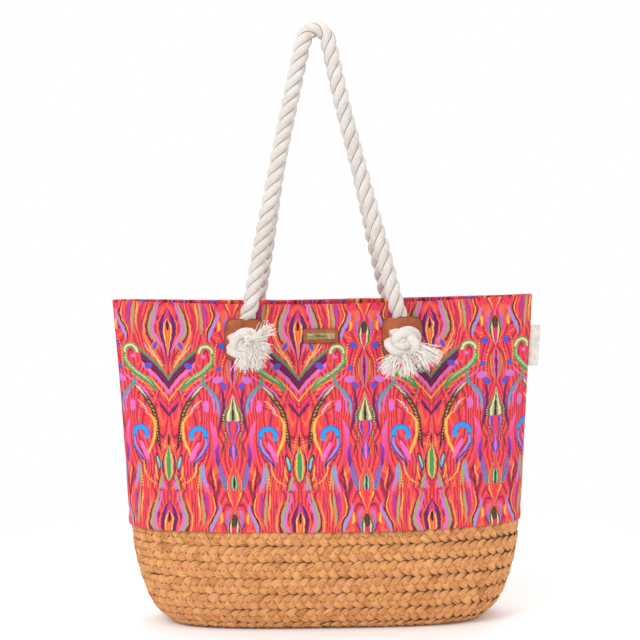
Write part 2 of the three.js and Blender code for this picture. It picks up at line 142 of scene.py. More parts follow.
def hump(value, middle, width):
    """A rounded ridge, 1 at its middle."""
    return np.exp(-(((value - middle) / width) ** 2))


def signed_power(value, power):
    return np.sign(value) * np.abs(value) ** power


def full_turn(count):
    return np.linspace(0, 2 * np.pi, count, endpoint=False)


def unit(vectors):
    return vectors / np.linalg.norm(vectors, axis=-1, keepdims=True)


def run_lengths(line):
    """The length along a line of points at each of them."""
    return np.concatenate([[0], np.cumsum(np.linalg.norm(np.diff(line, axis=0), axis=1))])


def spin(angles, first, second):
    """Unit rings: cos(angle) of the first way plus sin(angle) of the second."""
    return np.cos(angles)[..., None] * first + np.sin(angles)[..., None] * second


def loop_noise(draw, count, knots, scale):
    """Smooth random values at count places round a loop, from that many random knots."""
    values = draw.normal(0, scale, knots)
    at = np.arange(count) / count * knots
    i = at.astype(int) % knots
    w = smoothstep(at - at.astype(int), 0, 1)
    return values[i] * (1 - w) + values[(i + 1) % knots] * w


# ---------- Meshes ----------
def mesh_piece(name, points, faces, look, slot=None, body="bag", corner_uv=None, ride=True):
    """A mesh object from points in mm. corner_uv has one (u, v) for each corner of each face."""
    mesh = bpy.data.meshes.new(name)
    mesh.from_pydata((np.asarray(points, float).reshape(-1, 3) * MM).tolist(), [], faces)
    if corner_uv is not None:
        layer = mesh.uv_layers.new(name="cloth")
        layer.data.foreach_set("uv", np.asarray(corner_uv, np.float32).ravel())
    mesh.materials.append(look)
    mesh.polygons.foreach_set("use_smooth", [True] * len(mesh.polygons))
    mesh.update()
    piece = bpy.data.objects.new(name, mesh)
    bpy.context.scene.collection.objects.link(piece)
    if ride:
        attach(piece, body)
    return piece


class Surface:
    """Points, faces and corner UVs gathered from several grids and caps."""

    def __init__(self):
        self.points, self.faces, self.uv, self.count = [], [], [], 0

    def grid(self, points, uv, wrap_rows=False, wrap_columns=False, flip=False):
        """points is rows x columns x 3; uv has one more row or column where that way wraps."""
        points = np.asarray(points, float)
        rows, columns = points.shape[:2]
        r, c = np.meshgrid(
            np.arange(rows - (not wrap_rows)), np.arange(columns - (not wrap_columns)), indexing="ij"
        )
        r, c = r.ravel(), c.ravel()
        corners = [(r, c), (r, c + 1), (r + 1, c + 1), (r + 1, c)]
        if flip:
            corners.reverse()
        index = np.stack([(a % rows) * columns + b % columns for a, b in corners], 1) + self.count
        self.faces += index.tolist()
        uv = np.asarray(uv, float)
        self.uv.append(np.stack([uv[a, b] for a, b in corners], 1).reshape(-1, 2))
        self.points.append(points.reshape(-1, 3))
        self.count += rows * columns
        return self.count - rows * columns

    def tube(self, points, uv, caps=(True, True), flip=False):
        """A grid that wraps round its columns, with its first and last rows closed; flip turns the caps."""
        first = self.grid(points, uv, wrap_columns=True)
        rows, columns = len(points), len(points[0])
        for row, keep in zip((0, rows - 1), caps):
            if keep:
                index = [first + row * columns + c for c in range(columns)]
                self.faces.append(index[::-1] if (row == 0) != flip else index)
                self.uv.append(np.tile(np.asarray(uv[row][0], float), (columns, 1)))

    def add(self, other):
        self.faces += [[i + self.count for i in face] for face in other.faces]
        self.points += other.points
        self.uv += other.uv
        self.count += other.count

    def piece(self, name, look, **settings):
        points, corner_uv = np.concatenate(self.points), np.concatenate(self.uv)
        return mesh_piece(name, points, self.faces, look, corner_uv=corner_uv, **settings)


def mark_edge(piece, share):
    """Stores how far each point is worn and darkened, from 0 to 1."""
    layer = piece.data.attributes.new("edge", "FLOAT", "POINT")
    layer.data.foreach_set("value", np.asarray(share, np.float32))


def closed_sheet(outer, inner, uv):
    """A closed skin between two matching open grids; uv is shared."""
    made = Surface()
    rows, columns = np.asarray(outer).shape[:2]
    first = made.grid(outer, uv)
    second = made.grid(inner, uv, flip=True)
    rim = [(r, 0) for r in range(rows)] + [(rows - 1, c) for c in range(1, columns)]
    rim += [(r, columns - 1) for r in range(rows - 2, -1, -1)] + [(0, c) for c in range(columns - 2, 0, -1)]
    for a, b in zip(rim, rim[1:] + rim[:1]):
        ia, ib = a[0] * columns + a[1], b[0] * columns + b[1]
        made.faces.append([first + ia, first + ib, second + ib, second + ia])
        made.uv.append(np.array([uv[a], uv[b], uv[b], uv[a]], float))
    return made


# ---------- The bag's surface ----------
def catmull(points, t):
    """A uniform Catmull-Rom curve through points, with its ends extended straight."""
    place = np.clip(np.asarray(t, float), 0, 1) * (len(points) - 1)
    i = np.minimum(place.astype(int), len(points) - 2)
    w = (place - i)[..., None]
    wide = np.vstack([2 * points[0] - points[1], points, 2 * points[-1] - points[-2]])
    p0, p1, p2, p3 = (wide[i + k] for k in range(4))
    slope_a, slope_b = (p2 - p0) / 2, (p3 - p1) / 2
    cube, square = w**3, w**2
    return (
        (2 * cube - 3 * square + 1) * p1
        + (cube - 2 * square + w) * slope_a
        + (3 * square - 2 * cube) * p2
        + (cube - square) * slope_b
    )


STEPS = 2600  # levels in the wall's tables
FINE = 1500  # points of a line that is measured to space others evenly
SAG_ROUNDS = 4  # rounds that undo the rim's sag
profile = catmull(SHAPE[:, :3], np.linspace(0, 1, STEPS + 1))
LEVEL_HEIGHT, LEVEL_WIDTH, LEVEL_DEPTH = profile.T
LEVEL_SQUARE = np.interp(np.linspace(0, len(SHAPE) - 1, STEPS + 1), np.arange(len(SHAPE)), SHAPE[:, 3])
rise = np.hypot(np.gradient(LEVEL_DEPTH), np.gradient(LEVEL_HEIGHT))
LEVEL_INWARD = np.gradient(LEVEL_HEIGHT) / rise
LEVEL_UPWARD = np.gradient(LEVEL_DEPTH) / rise
LEVEL_LENGTH = run_lengths(np.stack([LEVEL_DEPTH, LEVEL_HEIGHT], 1))


def sag_at(height, across):
    reach = np.clip((height - SAG_STARTS) / (RIM_HEIGHT - SAG_STARTS), 0, 1)
    return RIM_SAG * reach**2 * (1 - across**2)


def wall(height, angle, depth=0.0):
    """Points of the wall at nominal heights; angle 0 is the right-hand seam and -90 degrees the front."""
    height, angle, depth = np.broadcast_arrays(
        np.asarray(height, float), np.asarray(angle, float), np.asarray(depth, float)
    )
    width, out, square, inward, upward = (
        np.interp(height, LEVEL_HEIGHT, column)
        for column in (LEVEL_WIDTH, LEVEL_DEPTH, LEVEL_SQUARE, LEVEL_INWARD, LEVEL_UPWARD)
    )
    across = signed_power(np.cos(angle), 2 / square)
    x = (width - depth * inward) * across
    y = (out - depth * inward) * signed_power(np.sin(angle), 2 / square)
    z = height + depth * upward - sag_at(height, across)
    return np.stack([x, y, z], -1)


def wall_out(x, height):
    """How far the wall's outer face stands from the middle plane at a real height."""
    x, height = np.broadcast_arrays(np.asarray(x, float), np.asarray(height, float))
    nominal = height
    for _ in range(SAG_ROUNDS):
        nominal = np.minimum(RIM_HEIGHT, height + sag_at(nominal, np.abs(x) / SHAPE[-1, 1]))
    width, out, square = (
        np.interp(nominal, LEVEL_HEIGHT, column) for column in (LEVEL_WIDTH, LEVEL_DEPTH, LEVEL_SQUARE)
    )
    return out * np.maximum(0, 1 - (np.abs(x) / width) ** square) ** (1 / square)


def height_at_length(length):
    return np.interp(length, LEVEL_LENGTH, LEVEL_HEIGHT)


def even_angles(height, depth, start, end, count):
    """count angles from start to end that are evenly spaced along the wall, and the length round."""
    fine = np.linspace(start, end, FINE)
    along = run_lengths(wall(height, fine, depth))
    return np.interp(np.linspace(0, along[-1], count), along, fine), along[-1]


# ---------- Shader trees ----------
class Value:
    """A number or colour that a shader tree works out."""

    def __init__(self, tree, socket):
        self.tree, self.socket = tree, socket

    def __add__(self, other):
        return self.tree.math("ADD", self, other)

    def __sub__(self, other):
        return self.tree.math("SUBTRACT", self, other)

    def __rsub__(self, other):
        return self.tree.math("SUBTRACT", other, self)

    def __mul__(self, other):
        return self.tree.math("MULTIPLY", self, other)

    def __truediv__(self, other):
        return self.tree.math("DIVIDE", self, other)

    def __abs__(self):
        return self.tree.math("ABSOLUTE", self)

    __radd__ = __add__
    __rmul__ = __mul__


def linear(colour):
    """An sRGB colour 0..255 as linear RGBA."""
    c = np.array(colour, float) / 255
    c = np.where(c <= 0.04045, c / 12.92, ((c + 0.055) / 1.055) ** 2.4)
    return (*c.tolist(), 1.0)


class Tree:
    """A material whose colour, roughness and relief are worked out by nodes."""

    def __init__(self, name, roughness=0.8, metallic=0.0, sheen=0.0):
        self.material = bpy.data.materials.new(name)
        self.material.use_nodes = True
        self.nodes = self.material.node_tree.nodes
        self.links = self.material.node_tree.links
        self.shader = self.nodes["Principled BSDF"]
        self.shader.inputs["Roughness"].default_value = roughness
        self.shader.inputs["Metallic"].default_value = metallic
        self.shader.inputs["Sheen Weight"].default_value = sheen
        self.shader.inputs["Sheen Roughness"].default_value = 0.6

    def node(self, kind, inputs=(), **settings):
        made = self.nodes.new("ShaderNode" + kind)
        for key, value in settings.items():
            setattr(made, key, value)
        for key, value in dict(inputs).items():
            self.put(value, made.inputs[key])
        return made

    def put(self, value, socket):
        if isinstance(value, Value):
            self.links.new(value.socket, socket)
        else:
            socket.default_value = value

    def math(self, operation, a, b=None, c=None):
        made = self.node("Math", operation=operation)
        for i, value in enumerate((a, b, c)):
            if value is not None:
                self.put(value, made.inputs[i])
        return Value(self, made.outputs[0])

    def minimum(self, a, b):
        return self.math("MINIMUM", a, b)

    def maximum(self, a, b):
        return self.math("MAXIMUM", a, b)

    def sine(self, a):
        return self.math("SINE", a)

    def wobble(self, coordinates, scale, detail=2.0, roughness=0.5, colour=False):
        settings = {"Vector": coordinates, "Scale": scale, "Detail": detail, "Roughness": roughness}
        made = self.node("TexNoise", settings)
        return Value(self, made.outputs["Color" if colour else "Fac"])

    def between(self, value, low, high, to_low=0.0, to_high=1.0, smooth=True):
        made = self.node("MapRange", interpolation_type="SMOOTHSTEP" if smooth else "LINEAR", clamp=False)
        names = ("Value", "From Min", "From Max", "To Min", "To Max")
        for name, number in zip(names, (value, low, high, to_low, to_high)):
            self.put(number, made.inputs[name])
        return Value(self, made.outputs["Result"])

    def mix(self, share, a, b, blend="MIX"):
        made = self.node("Mix", data_type="RGBA", blend_type=blend)
        self.put(share, made.inputs["Factor"])
        self.put(a, made.inputs[6])
        self.put(b, made.inputs[7])
        return Value(self, made.outputs[2])

    def ramp(self, value, stops, constant=False):
        """stops is [(place, sRGB colour)]."""
        made = self.node("ValToRGB", {"Fac": value})
        made.color_ramp.interpolation = "CONSTANT" if constant else "LINEAR"
        elements = made.color_ramp.elements
        while len(elements) < len(stops):
            elements.new(1.0)
        for element, (place, colour) in zip(elements, sorted(stops, key=lambda s: s[0])):
            element.position = place
            element.color = linear(colour)
        return Value(self, made.outputs["Color"])

    def curve(self, value, points, straight=False):
        """A value read off a line through points."""
        made = self.node("FloatCurve", {"Value": value})
        mapping = made.mapping
        mapping.use_clip = False
        line = mapping.curves[0]
        while len(line.points) < len(points):
            line.points.new(0, 0)
        for point, (x, y) in zip(line.points, points):
            point.location = (x, y)
            point.handle_type = "VECTOR" if straight else "AUTO_CLAMPED"
        mapping.update()
        return Value(self, made.outputs["Value"])

    def split(self, vector):
        made = self.node("SeparateXYZ", {"Vector": vector})
        return [Value(self, made.outputs[i]) for i in range(3)]

    def join(self, x, y, z=0.0):
        made = self.node("CombineXYZ", {"X": x, "Y": y, "Z": z})
        return Value(self, made.outputs[0])

    def uv(self):
        made = self.node("UVMap", uv_map="cloth")
        return Value(self, made.outputs[0])

    def place(self):
        """Object coordinates in mm."""
        made = self.node("TexCoord")
        scaled = self.node("VectorMath", operation="SCALE")
        self.links.new(made.outputs["Object"], scaled.inputs[0])
        scaled.inputs["Scale"].default_value = 1 / MM
        return Value(self, scaled.outputs[0])

    def finish(self, colour, height=None, distance=0.3, strength=1.0, roughness=None):
        self.put(colour, self.shader.inputs["Base Color"])
        if roughness is not None:
            self.put(roughness, self.shader.inputs["Roughness"])
        if height is not None:
            bump = self.node("Bump", {"Height": height, "Strength": strength, "Distance": distance * MM})
            self.links.new(bump.outputs["Normal"], self.shader.inputs["Normal"])
        return self.material


# ---------- Rope ----------
ROPE_LAY = 50  # one turn of a strand
STRAND_SIDES = 20
STRAND_SHARE = 0.6  # a strand's radius as a share of the rope's
STRAND_U, STRAND_SHIFT = 6, 60  # the UV's u for one radian round a strand, and from strand to strand
# painted shade: each strand's colour darkens towards the groove where it meets the next
STRAND_GROOVE = (1.42, 1.68)  # radians from a strand's crown where it darkens towards the next
ROPE_STEP = 2.4
SPAN_POINTS = 30  # points of a curve between two that it is drawn through
TUCK_HEIGHTS = (341, 350, 360)  # of the rope behind its patch
TUCK_END = {"height": 371, "from": 370, "out": 1.2, "share": 0.3}  # where it leaves the patch
FLAT_ZONE = (364, 388)  # over which the flattened rope gets round


def part_way(at, low, high, a, b):
    """What lies between a, at low, and b, at high."""
    return (high - at) / (high - low) * a + (at - low) / (high - low) * b


def centripetal(points, step):
    """A centripetal Catmull-Rom curve through points, with its ends extended, at even steps."""
    p = np.asarray(points, float)
    p = np.vstack([2 * p[0] - p[1], p, 2 * p[-1] - p[-2]])
    line = []
    for a, b, c, d in zip(p, p[1:], p[2:], p[3:]):
        t = np.cumsum([0] + [max(np.linalg.norm(v) ** 0.5, 1e-6) for v in (b - a, c - b, d - c)])
        s = np.linspace(t[1], t[2], SPAN_POINTS, endpoint=False)[:, None]
        ab, bc, cd = (part_way(s, *t[k : k + 2], *ends) for k, ends in enumerate(((a, b), (b, c), (c, d))))
        abc, bcd = part_way(s, t[0], t[2], ab, bc), part_way(s, t[1], t[3], bc, cd)
        line.append(part_way(s, t[1], t[2], abc, bcd))
    return even_line(np.vstack([*line, p[-2]]), step)


def even_line(line, step):
    along = run_lengths(line)
    at = np.linspace(0, along[-1], max(3, round(along[-1] / step) + 1))
    return np.stack([np.interp(at, along, line[:, k]) for k in range(3)], 1)


def frames_along(line, first=(1, 0, 0)):
    """Tangents and two directions across the line that turn as little as they can."""
    tangent = unit(np.gradient(line, axis=0))
    across = np.zeros_like(line)
    vector = np.asarray(first, float)
    for i, t in enumerate(tangent):
        vector = unit(vector - t * (vector @ t))
        across[i] = vector
    return tangent, across, np.cross(tangent, across)


def strands(line, across, up, along, radius=ROPE_RADIUS, flatten=None, lay=ROPE_LAY, caps=(True, True)):
    """Three strands twisted round the line, with the length along the rope at each of its points.
    flatten is how far each ring is squeezed towards the bag's middle plane."""
    strand, out = radius * STRAND_SHARE, radius * (1 - STRAND_SHARE)
    made = Surface()
    theta = full_turn(STRAND_SIDES)[None]
    for k in range(3):
        turn = 2 * np.pi * (along / lay + k / 3)
        centre, sideways = spin(turn, across, up), spin(turn + np.pi / 2, across, up)
        ring = out * centre[:, None] + strand * spin(theta, centre[:, None], sideways[:, None])
        if flatten is not None:
            ring[..., 1] *= flatten[:, None]
        uv = np.zeros((len(line), STRAND_SIDES + 1, 2))
        uv[..., 0] = np.linspace(0, 2 * np.pi, STRAND_SIDES + 1)[None] * STRAND_U + STRAND_SHIFT * k
        uv[..., 1] = along[:, None]
        made.tube(line[:, None] + ring, uv, caps)
    return made


def lean_out(height):
    return PIVOT_OUT + (BOW_OUT - PIVOT_OUT) * (height - PIVOT_HEIGHT) / (BOW_HEIGHT - PIVOT_HEIGHT)


def tuck_out(x, height):
    return float(wall_out(x, height)) + 2 * GAP + TUCK_HALF


def handle_line(face):
    route = ROUTES[face]
    side = route["side"]

    def end(hand):
        x, pivot, fold = hand["patch"], hand["pivot"], hand["fold"]
        tuck = [(x, side * tuck_out(x, h), h) for h in TUCK_HEIGHTS]
        out = tuck_out(x, TUCK_END["from"]) + TUCK_END["out"]
        near = (x + (pivot - x) * TUCK_END["share"], side * out, TUCK_END["height"])
        risen = (pivot, side * PIVOT_OUT, PIVOT_HEIGHT)
        middle = 0.5 * (PIVOT_HEIGHT + FOLD_HEIGHT)
        halfway = (0.5 * (pivot + fold), side * lean_out(middle), middle)
        return [*tuck, near, risen, halfway, (fold, side * lean_out(FOLD_HEIGHT), FOLD_HEIGHT)]

    bow = [(x, side * lean_out(h), h) for x, h in [*BOW_LEFT, (BOW_X, BOW_HEIGHT), *BOW_RIGHT]]
    return centripetal([*end(route["left"]), *bow, *end(route["right"])[::-1]], ROPE_STEP)


# Heights round the handle's turn over its patch, and round its fold higher up.
PIVOT_ZONE, FOLD_ZONE = (373, 409), (437, 473)
SPLIT_HEIGHT = 423  # where the bow meets the lower ends


def make_handle(face, look):
    side = ROUTES[face]["side"]
    line = handle_line(face)
    along = run_lengths(line)
    squeeze = TUCK_HALF / ROPE_RADIUS
    above = np.flatnonzero(line[:, 2] >= SPLIT_HEIGHT)
    cuts = {"left": (0, above[0]), "bow": (above[0], above[-1]), "right": (above[-1], len(line) - 1)}
    _, across, up = frames_along(line)
    for part, (low, high) in cuts.items():
        run = slice(low, high + 1)
        flatten = squeeze + (1 - squeeze) * smoothstep(line[run, 2], *FLAT_ZONE)
        caps = (part == "left", part == "right")
        surface = strands(line[run], across[run], up[run], along[run], flatten=flatten, caps=caps)
        name = f"{face}_handle_{part}" if part == "bow" else f"{face}_handle_{part}_end"
        piece = surface.piece(name, look, slot="cotton_rope", ride=False)
        if part == "bow":
            zone, bodies = FOLD_ZONE, (f"{face}_legs", f"{face}_bow")
            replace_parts(piece, f"{face}_rope_bow")
        else:
            zone, bodies = PIVOT_ZONE, ("bag", f"{face}_legs")
            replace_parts(piece, f"{face}_{part}_rope_leg", f"{face}_{part}_tucked_rope")
        middle = side * lean_out(0.5 * (zone[0] + zone[1])) * MM
        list(bodies)
        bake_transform(piece)
    low, high = cuts["bow"]
    path = line[low : high + 1] * MM
    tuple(path[0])


# ---------- Canvas, facing and lining ----------
PANEL_COLUMNS = {"canvas": 230, "facing": 150, "lining": 150}
SEAM = {"pinch": 1.0, "width": 2.2}
ROLL = (392.5, RIM_HEIGHT)  # the cloth rolls over the rim between these heights
STITCH = {"height": 387.5, "deep": 0.3, "width": 0.9}
STRAW_HEM = {"bulge": 1.5, "bulge_ends": (6, 15), "fold": 0.5, "fold_ends": (0, 1.2), "inside": 0.25}
STRAW_STITCH = {"deep": 0.35, "up": 7, "width": 0.9}
RIM_FOLD = {"leans": 0.7, "thick": 0.5, "thins": 0.45, "grows": (380, 392)}
FACING_RIM = {"near": (378, 391), "rolls": (392.5, 393.7), "out": 0.62, "in": 0.3, "thins": 0.5}
FACING_FOLD = {"thick": 0.5, "ends": (3, 9)}
FACING_CUT = (31, 150)  # where in the print the facing is cut from
POCKET_SHAPE = {"border": 9, "puff": 0.4, "slack": 1.6, "slack_from": 20, "hem": 0.6, "hem_down": (13, 11.5)}
KEEPS_STILL = {"height": (300, 322), "middle": 92, "reach": (26, 44)}  # round the patches
LABEL_STILL = {"height": (325, 338), "reach": (22, 36)}


def ripple(x, z, side):
    """The slow waves of the hanging cloth, still under the patches and the label."""
    wave = 1.5 * np.sin(x / 41 + 1.4 * np.sin(z / 83 + side) + 0.6 * side) * np.sin(z / 62 + 0.9 + side)
    wave += 0.8 * np.sin(x / 17.3 + z / 45 + 2 * side) * np.sin(z / 31 + x / 120)
    from_patch = np.abs(np.abs(x) - KEEPS_STILL["middle"])
    still = smoothstep(z, *KEEPS_STILL["height"]) * (1 - smoothstep(from_patch, *KEEPS_STILL["reach"]))
    if side < 0:
        from_label = np.abs(x - LABEL["x"])
        label = smoothstep(z, *LABEL_STILL["height"]) * (1 - smoothstep(from_label, *LABEL_STILL["reach"]))
        still = np.maximum(still, label)
    return wave * (1 - still)


def half_wall(side, heights, columns, depth, waves=1.0):
    """A grid of one half of the wall, and its UV: mm round from the middle and mm below the rim."""
    points = np.zeros((len(heights), columns, 3))
    uv = np.zeros((len(heights), columns, 2))
    waves = np.broadcast_to(waves, len(heights))
    for i, height in enumerate(heights):
        angles, length = even_angles(height, 0.0, 0.0, side * math.pi, columns)
        round_it = np.linspace(length / 2, -length / 2, columns)
        seam = hump(np.abs(round_it), length / 2, SEAM["width"])
        base = wall(height, angles)
        waving = waves[i] * ripple(base[:, 0], base[:, 2], side) * (1 - seam)
        inset = depth[i] + SEAM["pinch"] * seam - waving
        points[i] = wall(height, angles, inset)
        uv[i] = np.stack([round_it * -side, np.full(columns, RIM_HEIGHT - height)], 1)
    points[..., 1] = side * np.maximum(side * points[..., 1], 0.05)
    return points, uv


def put_sheet(name, outer, inner, uv, looks, slot, stands_for):
    """A closed sheet of cloth that hangs. Several looks are the print."""
    piece = closed_sheet(outer, inner, uv).piece(name, looks[0], slot=slot)
    if len(looks) > 1:
        put_print(piece, looks)
    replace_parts(piece, stands_for)


def canvas_panel(face, looks):
    side, columns = ROUTES[face]["side"], PANEL_COLUMNS["canvas"]
    foot, top = [HEM_HEIGHT, HEM_HEIGHT + 0.5], [393.2, 393.8, RIM_HEIGHT]
    heights = np.concatenate([foot, np.linspace(HEM_HEIGHT + 1.5, 392, 92), top])
    up = heights - HEM_HEIGHT
    hem = -STRAW_HEM["bulge"] * (1 - smoothstep(up, *STRAW_HEM["bulge_ends"]))
    hem += STRAW_HEM["fold"] * (1 - smoothstep(up, *STRAW_HEM["fold_ends"]))
    hem += STRAW_STITCH["deep"] * hump(up, STRAW_STITCH["up"], STRAW_STITCH["width"])
    rolled = smoothstep(heights, *ROLL) ** 2
    stitched = STITCH["deep"] * hump(heights, STITCH["height"], STITCH["width"])
    outer, uv = half_wall(side, heights, columns, hem + RIM_FOLD["leans"] * rolled + stitched)
    thick = CANVAS + RIM_FOLD["thick"] * smoothstep(heights, *RIM_FOLD["grows"]) - RIM_FOLD["thins"] * rolled
    inner, _ = half_wall(side, heights, columns, hem * STRAW_HEM["inside"] + thick)
    put_sheet(
        f"{face}_print_panel", outer, inner, uv, looks, "printed_canvas", f"{face}_canvas",
    )


def facing_panel(face, looks):
    side, columns = ROUTES[face]["side"], PANEL_COLUMNS["facing"]
    low = RIM_HEIGHT - FACING_DEPTH
    heights = np.concatenate([[low, low + 0.6], np.linspace(low + 1.5, 392, 24), [393, 393.7]])
    near_rim = smoothstep(heights, *FACING_RIM["near"])
    rolled = smoothstep(heights, *FACING_RIM["rolls"])
    outer_depth = INNER_LAYER - FACING_RIM["out"] * near_rim + FACING_RIM["in"] * rolled
    fold = FACING_FOLD["thick"] * (1 - smoothstep(heights, *(low + up for up in FACING_FOLD["ends"])))
    inner_depth = INNER_LAYER + CLOTH + 0.1 - FACING_RIM["thins"] * rolled + fold
    outer, uv = half_wall(side, heights, columns, outer_depth)
    inner, _ = half_wall(side, heights, columns, inner_depth)
    # the facing is cut from another place of the cloth, and turned over
    uv = np.stack([uv[..., 0] + FACING_CUT[0], FACING_CUT[1] - uv[..., 1]], -1)
    put_sheet(
        f"{face}_rim_facing", inner, outer, uv, looks, "printed_canvas", f"{face}_facing",
    )


def lining_depth(height):
    straw = BRAID_THICKNESS + 2 * GAP
    return straw + (INNER_LAYER - straw) * smoothstep(height, HEM_HEIGHT + 4, HEM_HEIGHT + 24)


def lining_panel(face, look):
    side, columns = ROUTES[face]["side"], PANEL_COLUMNS["lining"]
    top = RIM_HEIGHT - FACING_DEPTH - 2 * GAP
    bands = ((4, 30, 10), (34, 121, 16), (126, top, 50))
    heights = np.concatenate([np.linspace(*band) for band in bands])
    depth = lining_depth(heights)
    waves = 0.45 * smoothstep(heights, 90, 200)
    outer, uv = half_wall(side, heights, columns, depth, waves)
    inner, _ = half_wall(side, heights, columns, depth + CLOTH, waves)
    put_sheet(
        f"{face}_inner_cloth", inner, outer, uv, [look], "lining_cloth", f"{face}_lining",
    )


def pocket_panel(look):
    """A pocket open at its top, that rises from its sewn edges over a border and hangs slack in between."""
    low, high, half = POCKET["bottom"], POCKET["top"], POCKET["half_width"]
    border, (hem_low, hem_high) = POCKET_SHAPE["border"], POCKET_SHAPE["hem_down"]
    z = np.concatenate([np.linspace(low, high - 2, 50), [high - 0.8, high]])[:, None]
    x = np.linspace(-half, half, 60)[None]
    edge = np.minimum(np.minimum(half - np.abs(x), z - low), border) / border
    hangs = smoothstep(z, low + POCKET_SHAPE["slack_from"], high) * np.cos(np.pi / 2 * x / half) ** 1.5
    hem = POCKET_SHAPE["hem"] * smoothstep(z, high - hem_low, high - hem_high)
    base = wall_out(x, z) - (INNER_LAYER + CLOTH + 2 * GAP) + 0.45 * ripple(x, z, 1)
    puff = POCKET_SHAPE["puff"] * smoothstep(edge, 0, 1) + POCKET_SHAPE["slack"] * hangs
    x, z = np.broadcast_arrays(x, z)
    uv = np.stack([x, z], -1)
    outer = np.stack([x, base - puff, z], -1)
    inner = np.stack([x, base - puff - CLOTH - hem, z], -1)
    put_sheet(
        "slip_pocket_cloth", inner, outer, uv, [look], "lining_cloth", "slip_pocket",
    )


# ---------- Plaited straw ----------
PLAIT_PERIOD = 33.0
ROW_POINTS = 1200
UNDER_HEM = 1.1  # how far the top row is set back below the canvas
LOWEST = 0.4  # the bottom row's strands turn in here, short of the floor
CORE_SHORT = 4  # how far each end of the core stops short of the first turn
PLAIT_SEEDS = {"row": 11, "turn": 31, "core": 41}
PLAIT_U, PLAIT_SHIFT, PLAIT_SKIP = 24, 40, 120  # u round a strand, from strand to strand, from plait to plait
# painted shade: each strand's colour darkens towards its edges, standing in for the shadowed gaps between
# strands
PLAIT_EDGE_SHADE = (3.1, 5.0)  # u from a strand's crown where its edge darkens
PLAIT = {"swing": 6.1, "lift": 1.6, "width": 11.0, "thick": 2.6, "sides": 10, "step": 2.2}


def plait(place, length, seed, closed=True):
    """A flat three-strand plait. place(s, v, d) gives points at s along, v across and d below the outer
    face of the strip."""
    draw = np.random.default_rng(seed)
    periods = max(2, round(length / PLAIT_PERIOD))
    count, sides = round(length / PLAIT["step"]), PLAIT["sides"]
    s = np.linspace(0, length, count, endpoint=not closed)
    made = Surface()
    theta = full_turn(sides)
    rounding_u, rounding_v = signed_power(np.cos(theta), 0.75), signed_power(np.sin(theta), 0.85)

    def noise(share, scale):
        return loop_noise(draw, count, share * periods, scale)

    drift = noise(1, 0.25)
    for k in range(3):
        turn = 2 * np.pi * (periods * s / length + k / 3) + drift + noise(3, 0.16)
        swing = PLAIT["swing"] * (1 + noise(3, 0.07))
        v = swing * np.sin(turn) * (1 + 0.12 * np.cos(2 * turn)) + noise(1, 0.4)
        d = BRAID_THICKNESS / 2 - PLAIT["lift"] * np.sin(2 * turn)
        width = PLAIT["width"] / 2 * (1 + noise(2, 0.09))
        thick = PLAIT["thick"] / 2 * (1 + noise(2, 0.1))
        slope = np.gradient(v, s)
        run = np.sqrt(1 + slope**2)
        off = width[:, None] * rounding_u[None]
        tilt = 0.10 * np.sin(3 * turn)[:, None] * off
        ring_s = s[:, None] - off * (slope / run)[:, None]
        ring_v = v[:, None] + off / run[:, None]
        points = place(ring_s, ring_v, d[:, None] - thick[:, None] * rounding_v[None] + tilt)
        along = run_lengths(np.stack([s, v], 1))
        uv = np.zeros((count + closed, sides + 1, 2))
        uv[..., 0] = np.linspace(0, PLAIT_U, sides + 1)[None] + PLAIT_SHIFT * k + PLAIT_SKIP * seed
        if closed:
            uv[..., 1] = np.append(along, along[-1] + along[1])[:, None]
            made.grid(points, uv, wrap_rows=True, wrap_columns=True)
        else:
            uv[..., 1] = along[:, None]
            made.tube(points, uv)
    return made


def put_plait(surface, name, look, stands_for):
    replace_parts(surface.piece(name, look, slot="plaited_straw"), stands_for)


def wall_row(index, look):
    middle = (index + 0.5) * BRAID_PITCH
    height = float(height_at_length(middle))
    angles, length = even_angles(height, 0.0, 0.0, 2 * math.pi, ROW_POINTS)
    at = np.linspace(0, length, ROW_POINTS)
    under_hem = UNDER_HEM if index == WALL_ROWS - 1 else 0.0

    def place(s, v, d):
        angle = np.interp(np.mod(s, length), at, angles)
        level = height_at_length(np.maximum(middle + v, LOWEST))
        spill = np.maximum(0, LOWEST - (middle + v)) * 0.3
        return wall(level, angle, d + under_hem + spill)

    surface = plait(place, length, PLAIT_SEEDS["row"] + index)
    put_plait(surface, f"plaited_row_{index + 1}", look, f"braid_row_{index + 1}")


def flat_turns(look):
    """The plait of the flat underside: a straight run in the middle and two turns round it."""
    _, base_width, base_depth, square = SHAPE[0]
    fine = np.linspace(0, 2 * math.pi, FINE)

    def under(d):
        return d * 0.96 + 0.1

    def oval(angle, out):
        width = base_width - (base_depth - out)
        return width * signed_power(np.cos(angle), 2 / square), out * signed_power(np.sin(angle), 2 / square)

    for index in range(2):
        middle = BRAID_PITCH * (index + 1)
        along = run_lengths(np.stack(oval(fine, middle), 1))

        def place(s, v, d, along=along, middle=middle):
            angle = np.interp(np.mod(s, along[-1]), along, fine)
            x, y = oval(angle, middle + v)
            return np.stack([x, y, under(d)], -1)

        surface = plait(place, along[-1], PLAIT_SEEDS["turn"] + index)
        put_plait(surface, f"plaited_turn_{index + 1}", look, f"bottom_braid_turn_{index + 1}")
    half = base_width - base_depth + BRAID_PITCH / 2 - CORE_SHORT

    def straight(s, v, d):
        return np.stack([s - half, v, under(d)], -1)

    core = plait(straight, 2 * half, PLAIT_SEEDS["core"], closed=False)
    put_plait(core, "plaited_core", look, "bottom_braid_core")


# ---------- Leather ----------
def patch_bulge(from_rope, height):
    top = 2 * TUCK_HALF + 3 * GAP + 0.4
    half_span = PATCH["half_width"] - 2.5
    across = np.maximum(0, np.cos(np.pi / 2 * np.clip(from_rope / half_span, -1, 1)))
    return top * across**0.7 * smoothstep(height, PATCH["bottom"] + 1.5, PATCH_HOLE["height"] - 8)


PATCH_COLUMNS = 112
